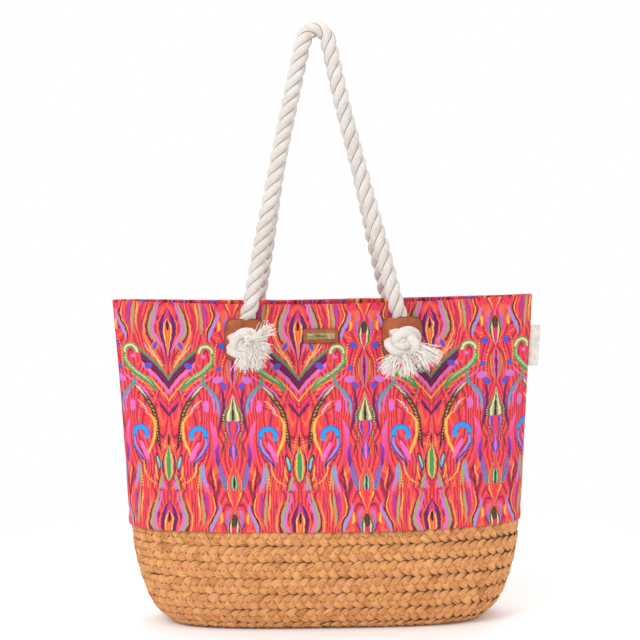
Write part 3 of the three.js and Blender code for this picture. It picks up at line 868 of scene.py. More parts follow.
# Where the rings of a patch lie between its hole (0) and its edge (1): close at both, and by the crease.
PATCH_RINGS = np.array([0, 0.03, 0.08, *np.linspace(0.16, 0.84, 14), 0.88, 0.91, 0.94, 0.965, 0.985, 1])
CREASE = {"ring": 0.905, "width": 0.016, "deep": 0.4}


def patch_piece(face, hand, look):
    route = ROUTES[face]
    side, x = route["side"], route[hand]["patch"]
    middle, half = (PATCH["top"] + PATCH["bottom"]) / 2, (PATCH["top"] - PATCH["bottom"]) / 2
    power, hole = 2 / PATCH["squareness"], PATCH_HOLE["radius"]
    angle, mix = full_turn(PATCH_COLUMNS)[None], PATCH_RINGS[:, None]
    cosine, sine = np.cos(angle), np.sin(angle)
    across = (1 - mix) * hole * cosine + mix * PATCH["half_width"] * signed_power(cosine, power)
    edge_height = middle + half * signed_power(sine, power)
    height = (1 - mix) * (PATCH_HOLE["height"] + hole * sine) + mix * edge_height
    rounded = 1 - 0.4 * smoothstep(mix, 0.965, 1) - 0.3 * (1 - smoothstep(mix, 0, 0.06))
    crease = CREASE["deep"] * hump(mix, CREASE["ring"], CREASE["width"])
    skin = wall_out(x + across, height) + GAP + patch_bulge(across, height)
    outer, inner = (
        np.stack([x + across, side * (skin + extra), height], -1)
        for extra in (PATCH["thickness"] * rounded - crease, 0)
    )
    uv = np.stack([x + across, height], -1)
    uv = np.concatenate([uv, uv[:, :1]], 1)
    made = Surface()
    first = made.grid(outer, uv, wrap_columns=True)
    second = made.grid(inner, uv, wrap_columns=True, flip=True)
    for row in (0, len(PATCH_RINGS) - 1):
        for c in range(PATCH_COLUMNS):
            a, b = row * PATCH_COLUMNS + c, row * PATCH_COLUMNS + (c + 1) % PATCH_COLUMNS
            made.faces.append([first + a, first + b, second + b, second + a])
            made.uv.append(np.array([uv[row, c], uv[row, c + 1], uv[row, c + 1], uv[row, c]]))
    piece = made.piece(f"{face}_{hand}_leather_patch", look, slot="tan_leather")
    worn = (1 - smoothstep(np.abs(mix - 1), 0.015, 0.1)) * np.ones_like(across)
    mark_edge(piece, np.tile(worn, (2, 1)).ravel())
    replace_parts(piece, f"{face}_{hand}_patch")


# ---------- Knots and frayed ends ----------
KNOT_ROPE = 9.7
KNOT_TURN = {"front_left": 3.5, "front_right": 3.14, "back_left": 0.4, "back_right": 5.3}
KNOT_LINE = {"share": 0.96, "points": 34, "ring": 2.05, "step": 1.9, "lay": 64}
NECK = {"radius": 8.6, "behind": 9, "short": 3, "points": 9}


def patch_front(x):
    height = PATCH_HOLE["height"]
    return float(wall_out(x, height) + GAP + patch_bulge(0, height)) + PATCH["thickness"]


def knot_out(x):
    return patch_front(x) + GAP + KNOT["y"]


def knot_piece(face, hand, look):
    """A knot drawn tight, with the neck of rope that comes out of the patch's hole."""
    side, x = ROUTES[face]["side"], ROUTES[face][hand]["patch"]
    out, turn = knot_out(x), KNOT_TURN[f"{face}_{hand}"]
    t = np.linspace(0, 2 * np.pi * KNOT_LINE["share"], KNOT_LINE["points"])
    ring = KNOT_LINE["ring"] + np.cos(3 * t)
    reach_x, reach_z = ((KNOT[way] - KNOT_ROPE) / (KNOT_LINE["ring"] + 1) for way in ("x", "z"))
    loop = [
        x + reach_x * ring * np.cos(2 * t + turn),
        side * (out + (KNOT["y"] - KNOT_ROPE) * np.sin(3 * t)),
        KNOT["height"] + reach_z * ring * np.sin(2 * t + turn),
    ]
    step = KNOT_LINE["step"]
    line = centripetal(np.stack(loop, 1), step)
    _, across, up = frames_along(line)
    along = np.linspace(0, len(line) * step, len(line))
    made = strands(line, across, up, along, radius=KNOT_ROPE, lay=KNOT_LINE["lay"])
    behind = patch_front(x) - PATCH["thickness"] - NECK["behind"]
    start, end = (x, side * behind, PATCH_HOLE["height"]), (x, side * (out - NECK["short"]), KNOT["height"])
    neck = np.linspace(start, end, NECK["points"])
    _, across, up = frames_along(neck)
    made.add(strands(neck, across, up, np.linspace(0, 20, NECK["points"]), radius=NECK["radius"]))
    piece = made.piece(f"{face}_{hand}_overhand_knot", look, slot="cotton_rope")
    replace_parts(piece, f"{face}_{hand}_knot")


# Each tuft: where it starts from the knot's middle (x, out, z), the way it points, how far it spreads,
# its length and its number of yarns.
TUFTS = {
    "front_left": [
        ((9, 11, -1), (0.55, 0.72, -0.02), 0.9, 20, 430),
        ((15, 4, 7), (0.8, 0.15, 0.7), 0.26, 23, 60),
        ((0, 7, -9), (-0.1, 0.4, -1.0), 0.3, 15, 90),
        ((9, 8, -6), (0.35, 0.5, -0.95), 0.45, 19, 150),
    ],
    "front_right": [
        ((-6, 5, -12), (-0.75, 0.3, -0.9), 0.3, 24, 130),
        ((16, 5, -6), (0.95, 0.22, -0.32), 0.24, 25, 130),
        ((2, 6, -13), (0.25, 0.35, -0.95), 0.6, 22, 160),
        ((14, 7, -8), (0.75, 0.35, -0.5), 0.45, 22, 110),
    ],
    "back_left": [
        ((6, 5, -8), (0.75, 0.3, -0.75), 0.5, 30, 220),
        ((-2, 4, -10), (-0.3, 0.2, -1.0), 0.35, 26, 110),
    ],
    "back_right": [
        ((-4, 5, -9), (-0.3, 0.3, -1.0), 0.45, 29, 210),
        ((8, 4, -6), (0.9, 0.25, -0.4), 0.35, 27, 120),
    ],
}
TUFT_OUT = 82.0  # beyond this the yarns lie flatter
TUFT_SEED = 101
YARN_SIDEWAYS = np.array([0.31, 0.77, 0.55])  # no yarn runs this way
YARN = {"radius": 0.44, "points": 10, "sides": 4, "spread": 0.62, "root": 2.4, "curl": 5, "crimp": 0.5}
YARN |= {"droop": 3.2, "off_wall": 2.2, "flattened": 0.6}


def tassel_piece(face, hand, look):
    """The frayed end below a knot: loose yarns in a few tufts."""
    key = f"{face}_{hand}"
    side, x = ROUTES[face]["side"], ROUTES[face][hand]["patch"]
    draw = np.random.default_rng(list(TUFTS).index(key) + TUFT_SEED)
    middle = np.array([x, knot_out(x), KNOT["height"]])
    t = np.linspace(0, 1, YARN["points"])[None, :, None]
    lines = []
    for root, way, spread, length, count in TUFTS[key]:
        aim = unit(unit(np.array(way, float)) + draw.normal(0, spread * YARN["spread"], (count, 3)))
        reach = length * draw.uniform(0.72, 1.08, (count, 1, 1))
        start = middle + root + draw.normal(0, YARN["root"], (count, 3)) + 2.0 * aim
        side_way = unit(np.cross(aim, draw.normal(0, 1, (count, 3))))
        curl = draw.uniform(-YARN["curl"], YARN["curl"], (count, 1, 1)) * t**2
        waves, phase = draw.uniform(12, 20, (count, 1, 1)), draw.uniform(0, 6, (count, 1, 1))
        crimp = YARN["crimp"] * np.sin(t * waves + phase)
        line = start[:, None] + aim[:, None] * reach * t + side_way[:, None] * (curl + crimp)
        line = line + np.cross(aim, side_way)[:, None] * crimp * 0.8
        line[..., 2] -= (YARN["droop"] * t**2)[..., 0]
        lines.append(line)
    lines = np.concatenate(lines)
    floor = wall_out(lines[..., 0], lines[..., 2]) + YARN["off_wall"]
    out = np.maximum(lines[..., 1], floor + 0.4 * draw.random((len(lines), 1)))
    lines[..., 1] = out - YARN["flattened"] * np.maximum(out - TUFT_OUT, 0)
    made = yarns(lines, draw)
    points = np.concatenate(made.points)
    points[:, 1] *= side
    made.points = [points]
    piece = made.piece(f"{key}_frayed_end", look, slot="cotton_rope")
    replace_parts(piece, f"{key}_tassel")


def yarns(lines, draw):
    """Thin tubes along many short lines."""
    count, steps = lines.shape[:2]
    sides = YARN["sides"]
    tangent = unit(np.gradient(lines, axis=1))
    across = unit(np.cross(tangent, YARN_SIDEWAYS))
    up = np.cross(tangent, across)
    radius = YARN["radius"] * draw.uniform(0.75, 1.3, (count, 1)) * np.linspace(1.0, 0.62, steps)[None]
    ring = spin(full_turn(sides), across[:, :, None], up[:, :, None])
    points = lines[:, :, None] + radius[..., None, None] * ring
    made = Surface()
    for k in range(count):
        uv = np.zeros((steps, sides + 1, 2))
        uv[..., 0] = np.linspace(0, sides, sides + 1)[None] + 7 * k
        uv[..., 1] = np.linspace(0, 30, steps)[:, None]
        made.tube(points[k], uv)
    return made


# ---------- Label, tag and snap ----------
PLATE_COLUMNS = 96
PLATE_SQUARE = 9
# Rings of the label and the plaque: share of the outline, and how far below the front. Those of their
# backs and of a pin's head say the height above the back instead.
LABEL_RINGS = [(0.02, 0), (0.5, 0), (0.72, 0), (0.76, 0.35), (0.80, 0), (0.93, 0), (0.985, 0.3), (1, 0.8)]
LABEL_BACK = [(1, 0), (0.5, 0), (0.02, 0)]
LABEL_WORN = [0, 0, 0, 0.5, 0, 0.3, 1, 1, 1, 0, 0]
PLAQUE_RINGS = [(0.02, 0), (0.6, 0), (0.66, 0.22), (0.74, 0.22), (0.8, 0), (0.93, 0), (1, 0.3)]
PLAQUE_BACK = [(1, -0.2), (0.02, -0.2)]
PIN = {"radius": 0.85, "inset": 2.6, "columns": 20}
PIN_RINGS = [(0.1, 1.5), (0.6, 1.42), (0.9, 1.2), (1, 0.95), (1, 0)]
TAG_SHAPE = {"tuck": 1.6, "bend": 0.7, "cloth": 0.32, "curl": 1.4, "flat_points": 14}
LATHE_COLUMNS = 40
SNAP_BELOW = 24
SNAP_DISC = [(0.2, 0), (9, 0), (9, 1.9), (8.6, 2.4), (8, 2.6), (5.6, 2.6)]
SNAP_FACES = {
    "front": ("front_snap_socket", [(5.2, 2.4), (4.8, 1.1), (0.2, 1.0)]),
    "back": ("back_snap_stud", [(4.8, 2.6), (4.5, 3.0), (4.4, 3.9), (4.0, 4.2), (0.2, 4.2)]),
}
BOTTOM = {"inset": 4, "columns": 120, "rings": 14, "middle": 0.03}
WASHER = [(0.2, 0), (7.6, 0), (8, 0.2), (8, 0.6), (0.2, 0.6)]


def wall_frame(x, height, side, out, reach=5):
    """An origin on the wall and the ways right, up and out as seen from outside."""
    slope = math.atan2(float(wall_out(x, height - reach) - wall_out(x, height + reach)), 2 * reach)
    origin = np.array([x, side * (float(wall_out(x, height)) + out), height])
    up = np.array([0, -side * math.sin(slope), math.cos(slope)])
    away = np.array([0, side * math.cos(slope), math.sin(slope)])
    return origin, np.array([-side, 0, 0]), up, away


def plate(place, half_width, half_height, squareness, rings, columns=PLATE_COLUMNS):
    """A closed plate from rings of (share of the outline, height above the back), middle first."""
    angle = full_turn(columns)
    edge_x = half_width * signed_power(np.cos(angle), 2 / squareness)
    edge_y = half_height * signed_power(np.sin(angle), 2 / squareness)
    origin, right, up, away = place
    grid, uv = [], []
    for share, rise in rings:
        inset = (1 - share) * half_height
        x, y = edge_x * (half_width - inset) / half_width, edge_y * share
        grid.append(origin + x[:, None] * right + y[:, None] * up + rise * away)
        flat = np.stack([x, y], 1)
        uv.append(np.vstack([flat, flat[:1]]))
    made = Surface()
    made.tube(grid, uv, flip=True)
    return made


def label_pieces(leather, brass):
    x, height = LABEL["x"], LABEL["height"]
    thick, tall = LABEL["thickness"], PLAQUE["thickness"]
    rings = [(share, thick - low) for share, low in LABEL_RINGS] + LABEL_BACK
    base = wall_frame(x, height, -1, 2 * GAP)
    backing = plate(base, LABEL["width"] / 2, LABEL["tall"] / 2, PLATE_SQUARE, rings)
    piece = backing.piece("label_backing", leather, slot="tan_leather")
    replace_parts(piece, "label_leather")
    mark_edge(piece, np.repeat(LABEL_WORN, PLATE_COLUMNS))

    top = wall_frame(x, height, -1, thick + 3 * GAP)
    rings = [(share, tall - low) for share, low in PLAQUE_RINGS] + PLAQUE_BACK
    plaque = plate(top, PLAQUE["width"] / 2, PLAQUE["tall"] / 2, PLATE_SQUARE, rings)
    origin, right, up, away = top
    for hand in (-1, 1):
        pin = (origin + right * hand * (PLAQUE["width"] / 2 - PIN["inset"]), right, up, away)
        plaque.add(plate(pin, PIN["radius"], PIN["radius"], 2, PIN_RINGS, PIN["columns"]))
    piece = plaque.piece("label_plate", brass, slot="label_brass")
    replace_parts(piece, "label_plaque")


def tag_piece(look):
    """A ribbon folded in half and sewn into the seam, blank on both faces."""
    rows = np.linspace(TAG["bottom"], TAG["top"], 34)
    reach, half = TAG["reach"], TAG["thickness"] / 2 - 0.05
    count, bend = TAG_SHAPE["flat_points"], TAG_SHAPE["bend"]
    flat = np.linspace(0, reach - bend, count)
    turn = np.linspace(-np.pi / 2, np.pi / 2, 7)[1:-1]
    out = np.concatenate([flat, reach - bend + bend * np.cos(turn), flat[::-1]])
    across = np.concatenate([np.full(count, -half), half * np.sin(turn), np.full(count, half)])
    level = np.interp(rows, LEVEL_HEIGHT, LEVEL_WIDTH) + TAG["clearance"] - TAG_SHAPE["tuck"]
    share = (out / reach)[None]
    curl = TAG_SHAPE["curl"] * np.sin(share * 1.9) * np.sin((rows - TAG["bottom"]) / 16)[:, None] * share
    x, y = level[:, None] + out[None], across[None] + curl
    z = rows[:, None] + 0 * out[None]
    outer = np.stack([x, y, z], -1)
    inner = np.stack([x, y - np.sign(across)[None] * TAG_SHAPE["cloth"], z], -1)
    inner[:, count:-count, 0] -= TAG_SHAPE["cloth"]
    length = run_lengths(np.stack([out, across], 1))
    uv = np.stack(np.broadcast_arrays(length[None], rows[:, None]), -1)
    piece = closed_sheet(outer, inner, uv).piece("side_ribbon", look, slot="woven_ribbon", body="tag")
    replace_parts(piece, "side_tag")


def lathe_piece(name, profile, place, look, node):
    """A turned piece from (radius, height above the back), on the axis that place's last way gives."""
    origin, right, up, away = place
    ring = spin(full_turn(LATHE_COLUMNS), right, up)
    grid = [origin + r * ring + h * away for r, h in profile]
    uv = np.zeros((len(profile), LATHE_COLUMNS + 1, 2))
    uv[..., 0] = np.linspace(0, 2 * np.pi, LATHE_COLUMNS + 1)[None]
    uv[..., 1] = np.array([r for r, _ in profile])[:, None]
    made = Surface()
    made.tube(grid, uv, flip=True)
    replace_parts(made.piece(name, look, slot="snap_steel"), node)


def snap_pieces(look):
    height = RIM_HEIGHT - RIM_SAG - SNAP_BELOW
    for face, (node, middle) in SNAP_FACES.items():
        side = ROUTES[face]["side"]
        origin, right, up, away = wall_frame(0, height, side, -(INNER_LAYER + CLOTH + GAP))
        lathe_piece(f"{face}_magnetic_snap", SNAP_DISC + middle, (origin, right, up, -away), look, node)
        washer = wall_frame(0, height, side, -CANVAS - GAP)[0]
        place = (washer, right, up, -away)
        lathe_piece(f"{face}_snap_back_plate", WASHER, place, look, f"{face}_snap_washer")


def bottom_cloth(look):
    _, width, out, square = SHAPE[0]
    angle = full_turn(BOTTOM["columns"])
    low, high = BRAID_THICKNESS + GAP, BRAID_THICKNESS + GAP + CLOTH
    rings = [(share, high) for share in np.linspace(BOTTOM["middle"], 1, BOTTOM["rings"])]
    rings += [(share, low) for share in (1, *np.linspace(1, BOTTOM["middle"], 6))]
    grid, uv = [], []
    for share, height in rings:
        x = (width - BOTTOM["inset"]) * share * signed_power(np.cos(angle), 2 / square)
        y = (out - BOTTOM["inset"]) * share * signed_power(np.sin(angle), 2 / square)
        grid.append(np.stack([x, y, np.full(len(angle), height)], 1))
        uv.append(np.stack([np.append(x, x[0]), np.append(y, y[0])], 1))
    made = Surface()
    made.tube(grid, uv, flip=True)
    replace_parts(made.piece("bottom_inner_cloth", look, slot="lining_cloth"), "bottom_lining")


# ---------- Materials ----------
def cotton_rope_look(name, lines):
    """Twisted white cotton; lines is how dark the painted shade in the groove between two strands is."""
    tree = Tree(name, roughness=0.92, sheen=0.12)
    u, v, _ = tree.split(tree.uv())
    yarn = tree.sine((u + v * 0.42) * (2 * math.pi / 2.3))
    fibre = tree.wobble(tree.join((u + v * 0.42) * 2.2, v * 0.22), 1.0, 4.0)
    cloudy = tree.wobble(tree.place(), 0.045, 3.0)
    tone = tree.ramp(
        fibre * 0.6 + yarn * 0.1 + cloudy * 0.4,
        [(0.2, (196, 182, 172)), (0.45, (226, 216, 208)), (0.75, (242, 236, 229))],
    )
    # painted shade in the groove where two strands meet, as dark as lines says
    round_it = tree.math("PINGPONG", tree.math("MODULO", u, STRAND_SHIFT), STRAND_U * math.pi)
    groove_shade = tree.between(round_it, *(STRAND_U * angle for angle in STRAND_GROOVE))
    tone = tree.mix(groove_shade * lines, tone, linear((112, 98, 94)))
    return tree.finish(tone, yarn * 0.5 + fibre * 1.6, 0.45)


def yarn_look():
    tree = Tree("frayed cotton", roughness=0.95, sheen=0.1)
    u, v, _ = tree.split(tree.uv())
    fibre = tree.wobble(tree.join(u * 1.4, v * 0.15), 1.0, 2.0)
    tone = tree.ramp(fibre + v * 0.004, [(0.25, (222, 210, 196)), (0.6, (250, 245, 238))])
    return tree.finish(tone, fibre, 0.2)


def straw_look():
    tree = Tree("plaited straw", roughness=0.62)
    u, v, _ = tree.split(tree.uv())
    fibre = tree.wobble(tree.join(u * 1.6, v * 0.035), 1.0, 5.0, 0.65)
    ribs = tree.sine(u * (2 * math.pi / 1.5) + fibre * 5)
    length = tree.wobble(tree.join(u * 0.02, v * 0.06), 1.0, 2.0)
    tone = tree.ramp(
        fibre * 0.62 + ribs * 0.05 + length * 0.42,
        [(0.3, (122, 68, 30)), (0.42, (180, 110, 56)), (0.52, (212, 144, 82)), (0.72, (236, 182, 116))],
    )
    rosy = tree.between(tree.wobble(tree.join(u * 0.01, v * 0.02, 7.0), 1.0), 0.5, 0.72)
    tone = tree.mix(rosy * 0.55, tone, linear((228, 150, 112)))
    knots = tree.between(tree.wobble(tree.join(u * 0.35, v * 0.16, 3.0), 1.0, 3.0), 0.66, 0.76)
    tone = tree.mix(knots * 0.5, tone, linear((116, 66, 34)))
    # painted shade of the gaps between strands, laid on each strand's edges
    crown = PLAIT_U / 4
    edge = tree.between(abs(tree.math("MODULO", u, PLAIT_SHIFT) - crown), *PLAIT_EDGE_SHADE)
    tone = tree.mix(edge * 0.85, tone, linear((92, 48, 22)))
    return tree.finish(tone, fibre * 1.3 + ribs * 0.3, 0.45)


def leather_look():
    tree = Tree("tan leather", roughness=0.5)
    place = tree.place()
    cloud = tree.wobble(place, 0.07, 4.0)
    pores = tree.node("TexVoronoi", {"Vector": place, "Scale": 1.3})
    pore = Value(tree, pores.outputs["Distance"])
    wrinkle = tree.wobble(place, 0.5, 5.0, 0.6)
    browns = [(0.3, (116, 50, 20)), (0.52, (158, 76, 32)), (0.75, (182, 96, 46))]
    tone = tree.ramp(cloud * 0.7 + wrinkle * 0.35, browns)
    edge = tree.node("Attribute", attribute_name="edge")
    tone = tree.mix(Value(tree, edge.outputs["Fac"]) * 0.7, tone, linear((70, 28, 12)))
    relief = pore * 0.7 + wrinkle * 0.8
    return tree.finish(tone, relief, 0.3, roughness=tree.between(cloud, 0.3, 0.7, 0.42, 0.62))


def weave(tree, u, v, pitch):
    """The height of a plain weave: threads over and under each other."""
    a, b = u * (math.pi / pitch), v * (math.pi / pitch)
    warp = abs(tree.sine(a)) * (tree.sine(b) * 0.5 + 0.5)
    weft = abs(tree.sine(b)) * (0.5 - tree.sine(b) * tree.sine(a) * 0.5)
    return warp + weft


def lining_look():
    tree = Tree("lining cloth", roughness=0.9, sheen=0.1)
    u, v, _ = tree.split(tree.uv())
    slub = tree.wobble(tree.join(u * 0.08, v * 1.2), 1.0, 3.0)
    stain = tree.wobble(tree.place(), 0.02, 3.0)
    naturals = [(0.3, (214, 200, 176)), (0.5, (230, 219, 199)), (0.7, (240, 232, 216))]
    tone = tree.ramp(slub * 0.5 + stain * 0.5, naturals)
    return tree.finish(tone, weave(tree, u, v, 0.9) + slub * 0.6, 0.25)


def brass_look():
    tree = Tree("brushed brass", roughness=0.36, metallic=0.9)
    u, v, _ = tree.split(tree.uv())
    brush = tree.wobble(tree.join(u * 0.25, v * 9.0), 1.0, 3.0)
    tarnish = tree.wobble(tree.place(), 0.25, 3.0)
    golds = [(0.35, (128, 110, 72)), (0.55, (174, 156, 110)), (0.75, (206, 192, 148))]
    tone = tree.ramp(tarnish * 0.7 + brush * 0.3, golds)
    return tree.finish(tone, brush, 0.05, roughness=tree.between(tarnish, 0.3, 0.7, 0.3, 0.5))


def steel_look():
    tree = Tree("snap steel", roughness=0.3, metallic=1.0)
    ring = tree.wobble(tree.place(), 0.9, 4.0)
    tone = tree.ramp(ring, [(0.3, (150, 150, 152)), (0.7, (206, 206, 208))])
    return tree.finish(tone, ring, 0.05, roughness=tree.between(ring, 0.3, 0.7, 0.22, 0.42))


def ribbon_look():
    tree = Tree("woven ribbon", roughness=0.75, sheen=0.1)
    u, v, _ = tree.split(tree.uv())
    twill = tree.sine((u + v) * (2 * math.pi / 0.9))
    soft = tree.wobble(tree.place(), 0.12, 3.0)
    whites = [(0.3, (214, 205, 190)), (0.55, (238, 231, 219)), (0.8, (248, 243, 234))]
    tone = tree.ramp(twill * 0.08 + soft, whites)
    return tree.finish(tone, twill + soft, 0.12)


def studio_look():
    """A pale floor that fades out with distance from the bag."""
    tree = Tree("studio floor", roughness=0.9)
    place = tree.place()
    x, y, _ = tree.split(place)
    grain = tree.wobble(place, 0.006, 3.0)
    tone = tree.ramp(grain, [(0.35, (246, 246, 246)), (0.7, (250, 250, 250))])
    away = tree.math("SQRT", x * x + y * y)
    tree.put(tree.between(away, 650.0, 360.0), tree.shader.inputs["Alpha"])
    return tree.finish(tone, grain, 0.05)


# ---------- Printed cloth ----------
# A mirrored repeat: X is mm from the nearest flame axis (0 to REPEAT_HALF) and Y is mm below the rim,
# from FIRST_Y to the next repeat.
REPEAT_HALF, REPEAT_TALL, FIRST_Y, AXIS = 78.6, 229.0, -3.0, 29.4
INK = {
    "coral": (246, 58, 80),
    "flame": (248, 72, 64),
    "rose": (232, 50, 112),
    "orange": (250, 130, 58),
    "yellow": (255, 206, 92),
    "cream": (240, 224, 170),
    "white": (252, 226, 214),
    "sage": (166, 174, 122),
    "green": (62, 158, 92),
    "olive": (112, 98, 44),
    "dark": (66, 30, 34),
    "wine": (128, 22, 62),
    "purple": (104, 22, 104),
    "violet": (148, 62, 186),
    "lilac": (198, 128, 222),
    "pink": (246, 112, 196),
    "blue": (62, 98, 206),
    "sky": (122, 168, 228),
    "cyan": (26, 164, 244),
    "mint": (152, 216, 192),
    "navy": (46, 46, 124),
    "brown": (98, 62, 40),
}


def rows(table):
    """The words of each line of a table."""
    return [line.split() for line in table.strip().splitlines()]


def pairs(words):
    """(Y, value) points from words that take turns."""
    return [(float(y), float(value)) for y, value in zip(words[::2], words[1::2])]


# Strokes: half width, ink at the top and at the foot, what breaks it up, then Y and X of each point.
STROKES = rows("""
1.8 lilac pink - -3 9.5 7 11.5 16 14.5 26 17.5 33 18 41 14.5 48 10 56 6.5 64 4
1.8 sage sage - -3 13.4 7 15.4 16 18.4 26 21.4 33 21.9 41 19 50 13.5 58 9.5
0.9 wine dark - -3 16.8 7 18.8 16 21.6 26 24.4 34 25 43 22.5 52 17.2 60 12 72 6
0.9 orange yellow - -3 20.6 8 22.6 18 25.8 28 28 36 28.4 46 26 54 22.5 64 16 76 9 86 4
0.7 rose wine - -3 27.5 8 29 20 31.6 30 32 42 31
1.1 yellow orange - -3 35 10 36 20 37.6 30 37 38 34.5
1.4 sage sage - -3 39.6 10 40.4 20 42 30 42.4 40 40
1.8 violet rose - -3 45.5 10 45.8 22 47.4 32 46
0.7 yellow orange - -3 51.4 6 53.6 14 55.4 22 53.8 30 49.6 38 46.8 46 46.4
0.9 dark dark - -3 53.2 6 55.4 14 57.4 22 55.8 30 51.4 38 48.8 48 48.6
1.9 lilac sky - 8 60.5 16 61.5 24 58.4 32 54.6 40 51.6 48 51
0.8 rose wine dots -3 65 12 66 28 66.6 44 65 60 66.4 76 70
2.9 orange flame - 19 62.4 28 63.6 37 61
1.2 yellow yellow - 22 62.4 29 63.2 35 61.6
0.8 yellow orange dots 51 25 60 17.6 68 11.4 76 5.8 84 1.6
1.3 cream cream checks 50 30 57 24.6 64 18.4 72 11.8 80 6
3.3 green green - 60 53.5 68 54.4 75 51.4 82 45 88 37 94 28 101 20.5 110 15
1.7 cream cream checks 61 52.6 68 53.2 75 50.2 82 43.8 88 35.8 94 27 101 19.8
0.9 yellow orange dots 78 57 86 48.5 94 37.6 102 27.4 112 19.5 126 13
1.1 pink lilac - 84 59.4 92 50.6 100 39 108 29.6 118 22
3.1 brown dark - 97 44 104 39.6 112 32.4 121 25.4 131 19.8 143 16.2 156 14.4 170 12 181 9.6
0.8 sage yellow dots 104 39.4 112 32.4 121 25.6 131 20 143 16.3 156 14.5 170 12.2
1.2 cream mint - 100 43 107 36.4 115 29
2 green sky - 84 45.6 92 43 100 45.6 107 52 114 58 124 61.5 137 61
0.8 violet navy - 103 53.5 110 58.5 118 62.4 128 64.6 142 63 156 59.6
1.7 purple wine - 100 64 112 67 124 68 138 66.4 150 63 162 60
1.2 lilac pink - 106 48.6 113 53 122 56.4 135 56.6
1.6 white white checks 118 42 122 36 128 30.6 137 26.4
0.7 wine rose - 124 45 129 37 135 31.6 143 29
2.4 orange orange - 131 34 136 25 142 19.4 150 17.6 160 18.2 170 21 180 25.6 190 28
1.1 yellow yellow - 131 34 136 25 142 19.4 150 17.6 160 18.2 170 21 180 25.6 190 28
2.6 pink rose - 140 51 150 54.6 165 57 180 55.6 196 51
2.4 blue navy - 160 45.6 168 47 176 44 184 38 191 32.5 198 28.6
1.3 sky lilac - 160 45.2 168 46.2 176 43 184 37 191 31.6
0.7 dark wine dots 166 50 176 48.4 186 42 194 35.4 202 30
2.8 pink pink - 166 37 175 33.6 184 29 191 26
2 violet purple - 168 62 180 58.6 190 59 202 62
1.1 dark dark - 158 0 166 0.2 175 0
0.7 yellow yellow dots 160 3.6 170 5 180 7.6
3 dark dark - 181 16.6 188 14.2 195 12.4 204 12
1.7 mint sky - 184 15.6 189 13.9 195 12.5 201 12.1
1 yellow orange - 194 17.6 204 17 211 15 216 10.4 221 5.4 226 2
1 yellow orange - 190 34 202 32.4 211 27.4 217 18.6 222 9.6 226 6
0.8 wine rose - 200 24.4 209 22 218 13
2.2 sky lilac - 193 43 202 41.4 212 43 220 46 226 48.6
0.9 yellow yellow dots 204 36.6 214 36 226 35
1 orange orange - 208 27.6 217 28 226 27.6
0.8 dark dark - 196 50 206 51 216 53 226 53.2
0.9 yellow orange - 198 52.6 207 54 216 56.4 226 56
1.7 lilac lilac - 214 6 220 8 226 9.5
1.7 sage sage - 206 8 214 10 226 13.4
0.9 wine wine - 204 11 214 13.6 226 16.8
0.9 orange orange - 206 18 216 19.4 226 20.6
1.3 sage sage - 190 40 204 38.4 226 39.6
2.9 lilac sky - 190 62 200 62.6 210 65 220 67.6 226 69
2.7 navy navy hatch 190 62 200 62.6 210 65 220 67.6 226 69
1.3 brown dark - 118 74.4 128 71 138 67.6 150 69.4 162 70.4 172 66.6 186 64
0.7 cream cream checks 118 74.4 128 71 138 67.6 150 69.4 162 70.4 172 66.6
1.4 lilac blue - 14 74.2 22 71 30 69.8 40 71.4 49 75.4
0.8 yellow orange dots 60 72 70 67.4 82 65.6 94 67.4 106 72
0.8 yellow yellow dots 44 61.6 56 58.4 70 57 84 60.6
1.2 yellow orange - -3 71.6 4 74.6 10 77.6 17 78.4
0.9 wine rose - -3 67.8 6 71.2 13 75 20 77
""")
# Spots: X, Y, half width, half height, lean and colour.
SPOTS = rows("""
15.4 53 4 7 -0.45 orange
15.4 53 2.6 5.4 -0.45 violet
15.4 53 1.7 4.2 -0.45 blue
25 77.5 5.2 3.6 0.5 violet
26 77 3.8 2.6 0.5 blue
66 52.5 4.4 4.2 0 violet
66 52.5 3.3 3.2 0 blue
62 80 3.8 3.4 0 violet
61.6 80 2.8 2.6 0 blue
61 93.6 6.2 4.2 -0.3 lilac
59 93 3.6 2.2 -0.3 pink
67.6 101 3.6 5 -0.5 violet
68 102.4 2.2 3.4 -0.5 blue
47 125 3.6 7.2 0 pink
47 127.4 2.2 3 0 lilac
28.6 162 2.9 3.6 0 cyan
43 66 3 2.4 0.3 pink
""")
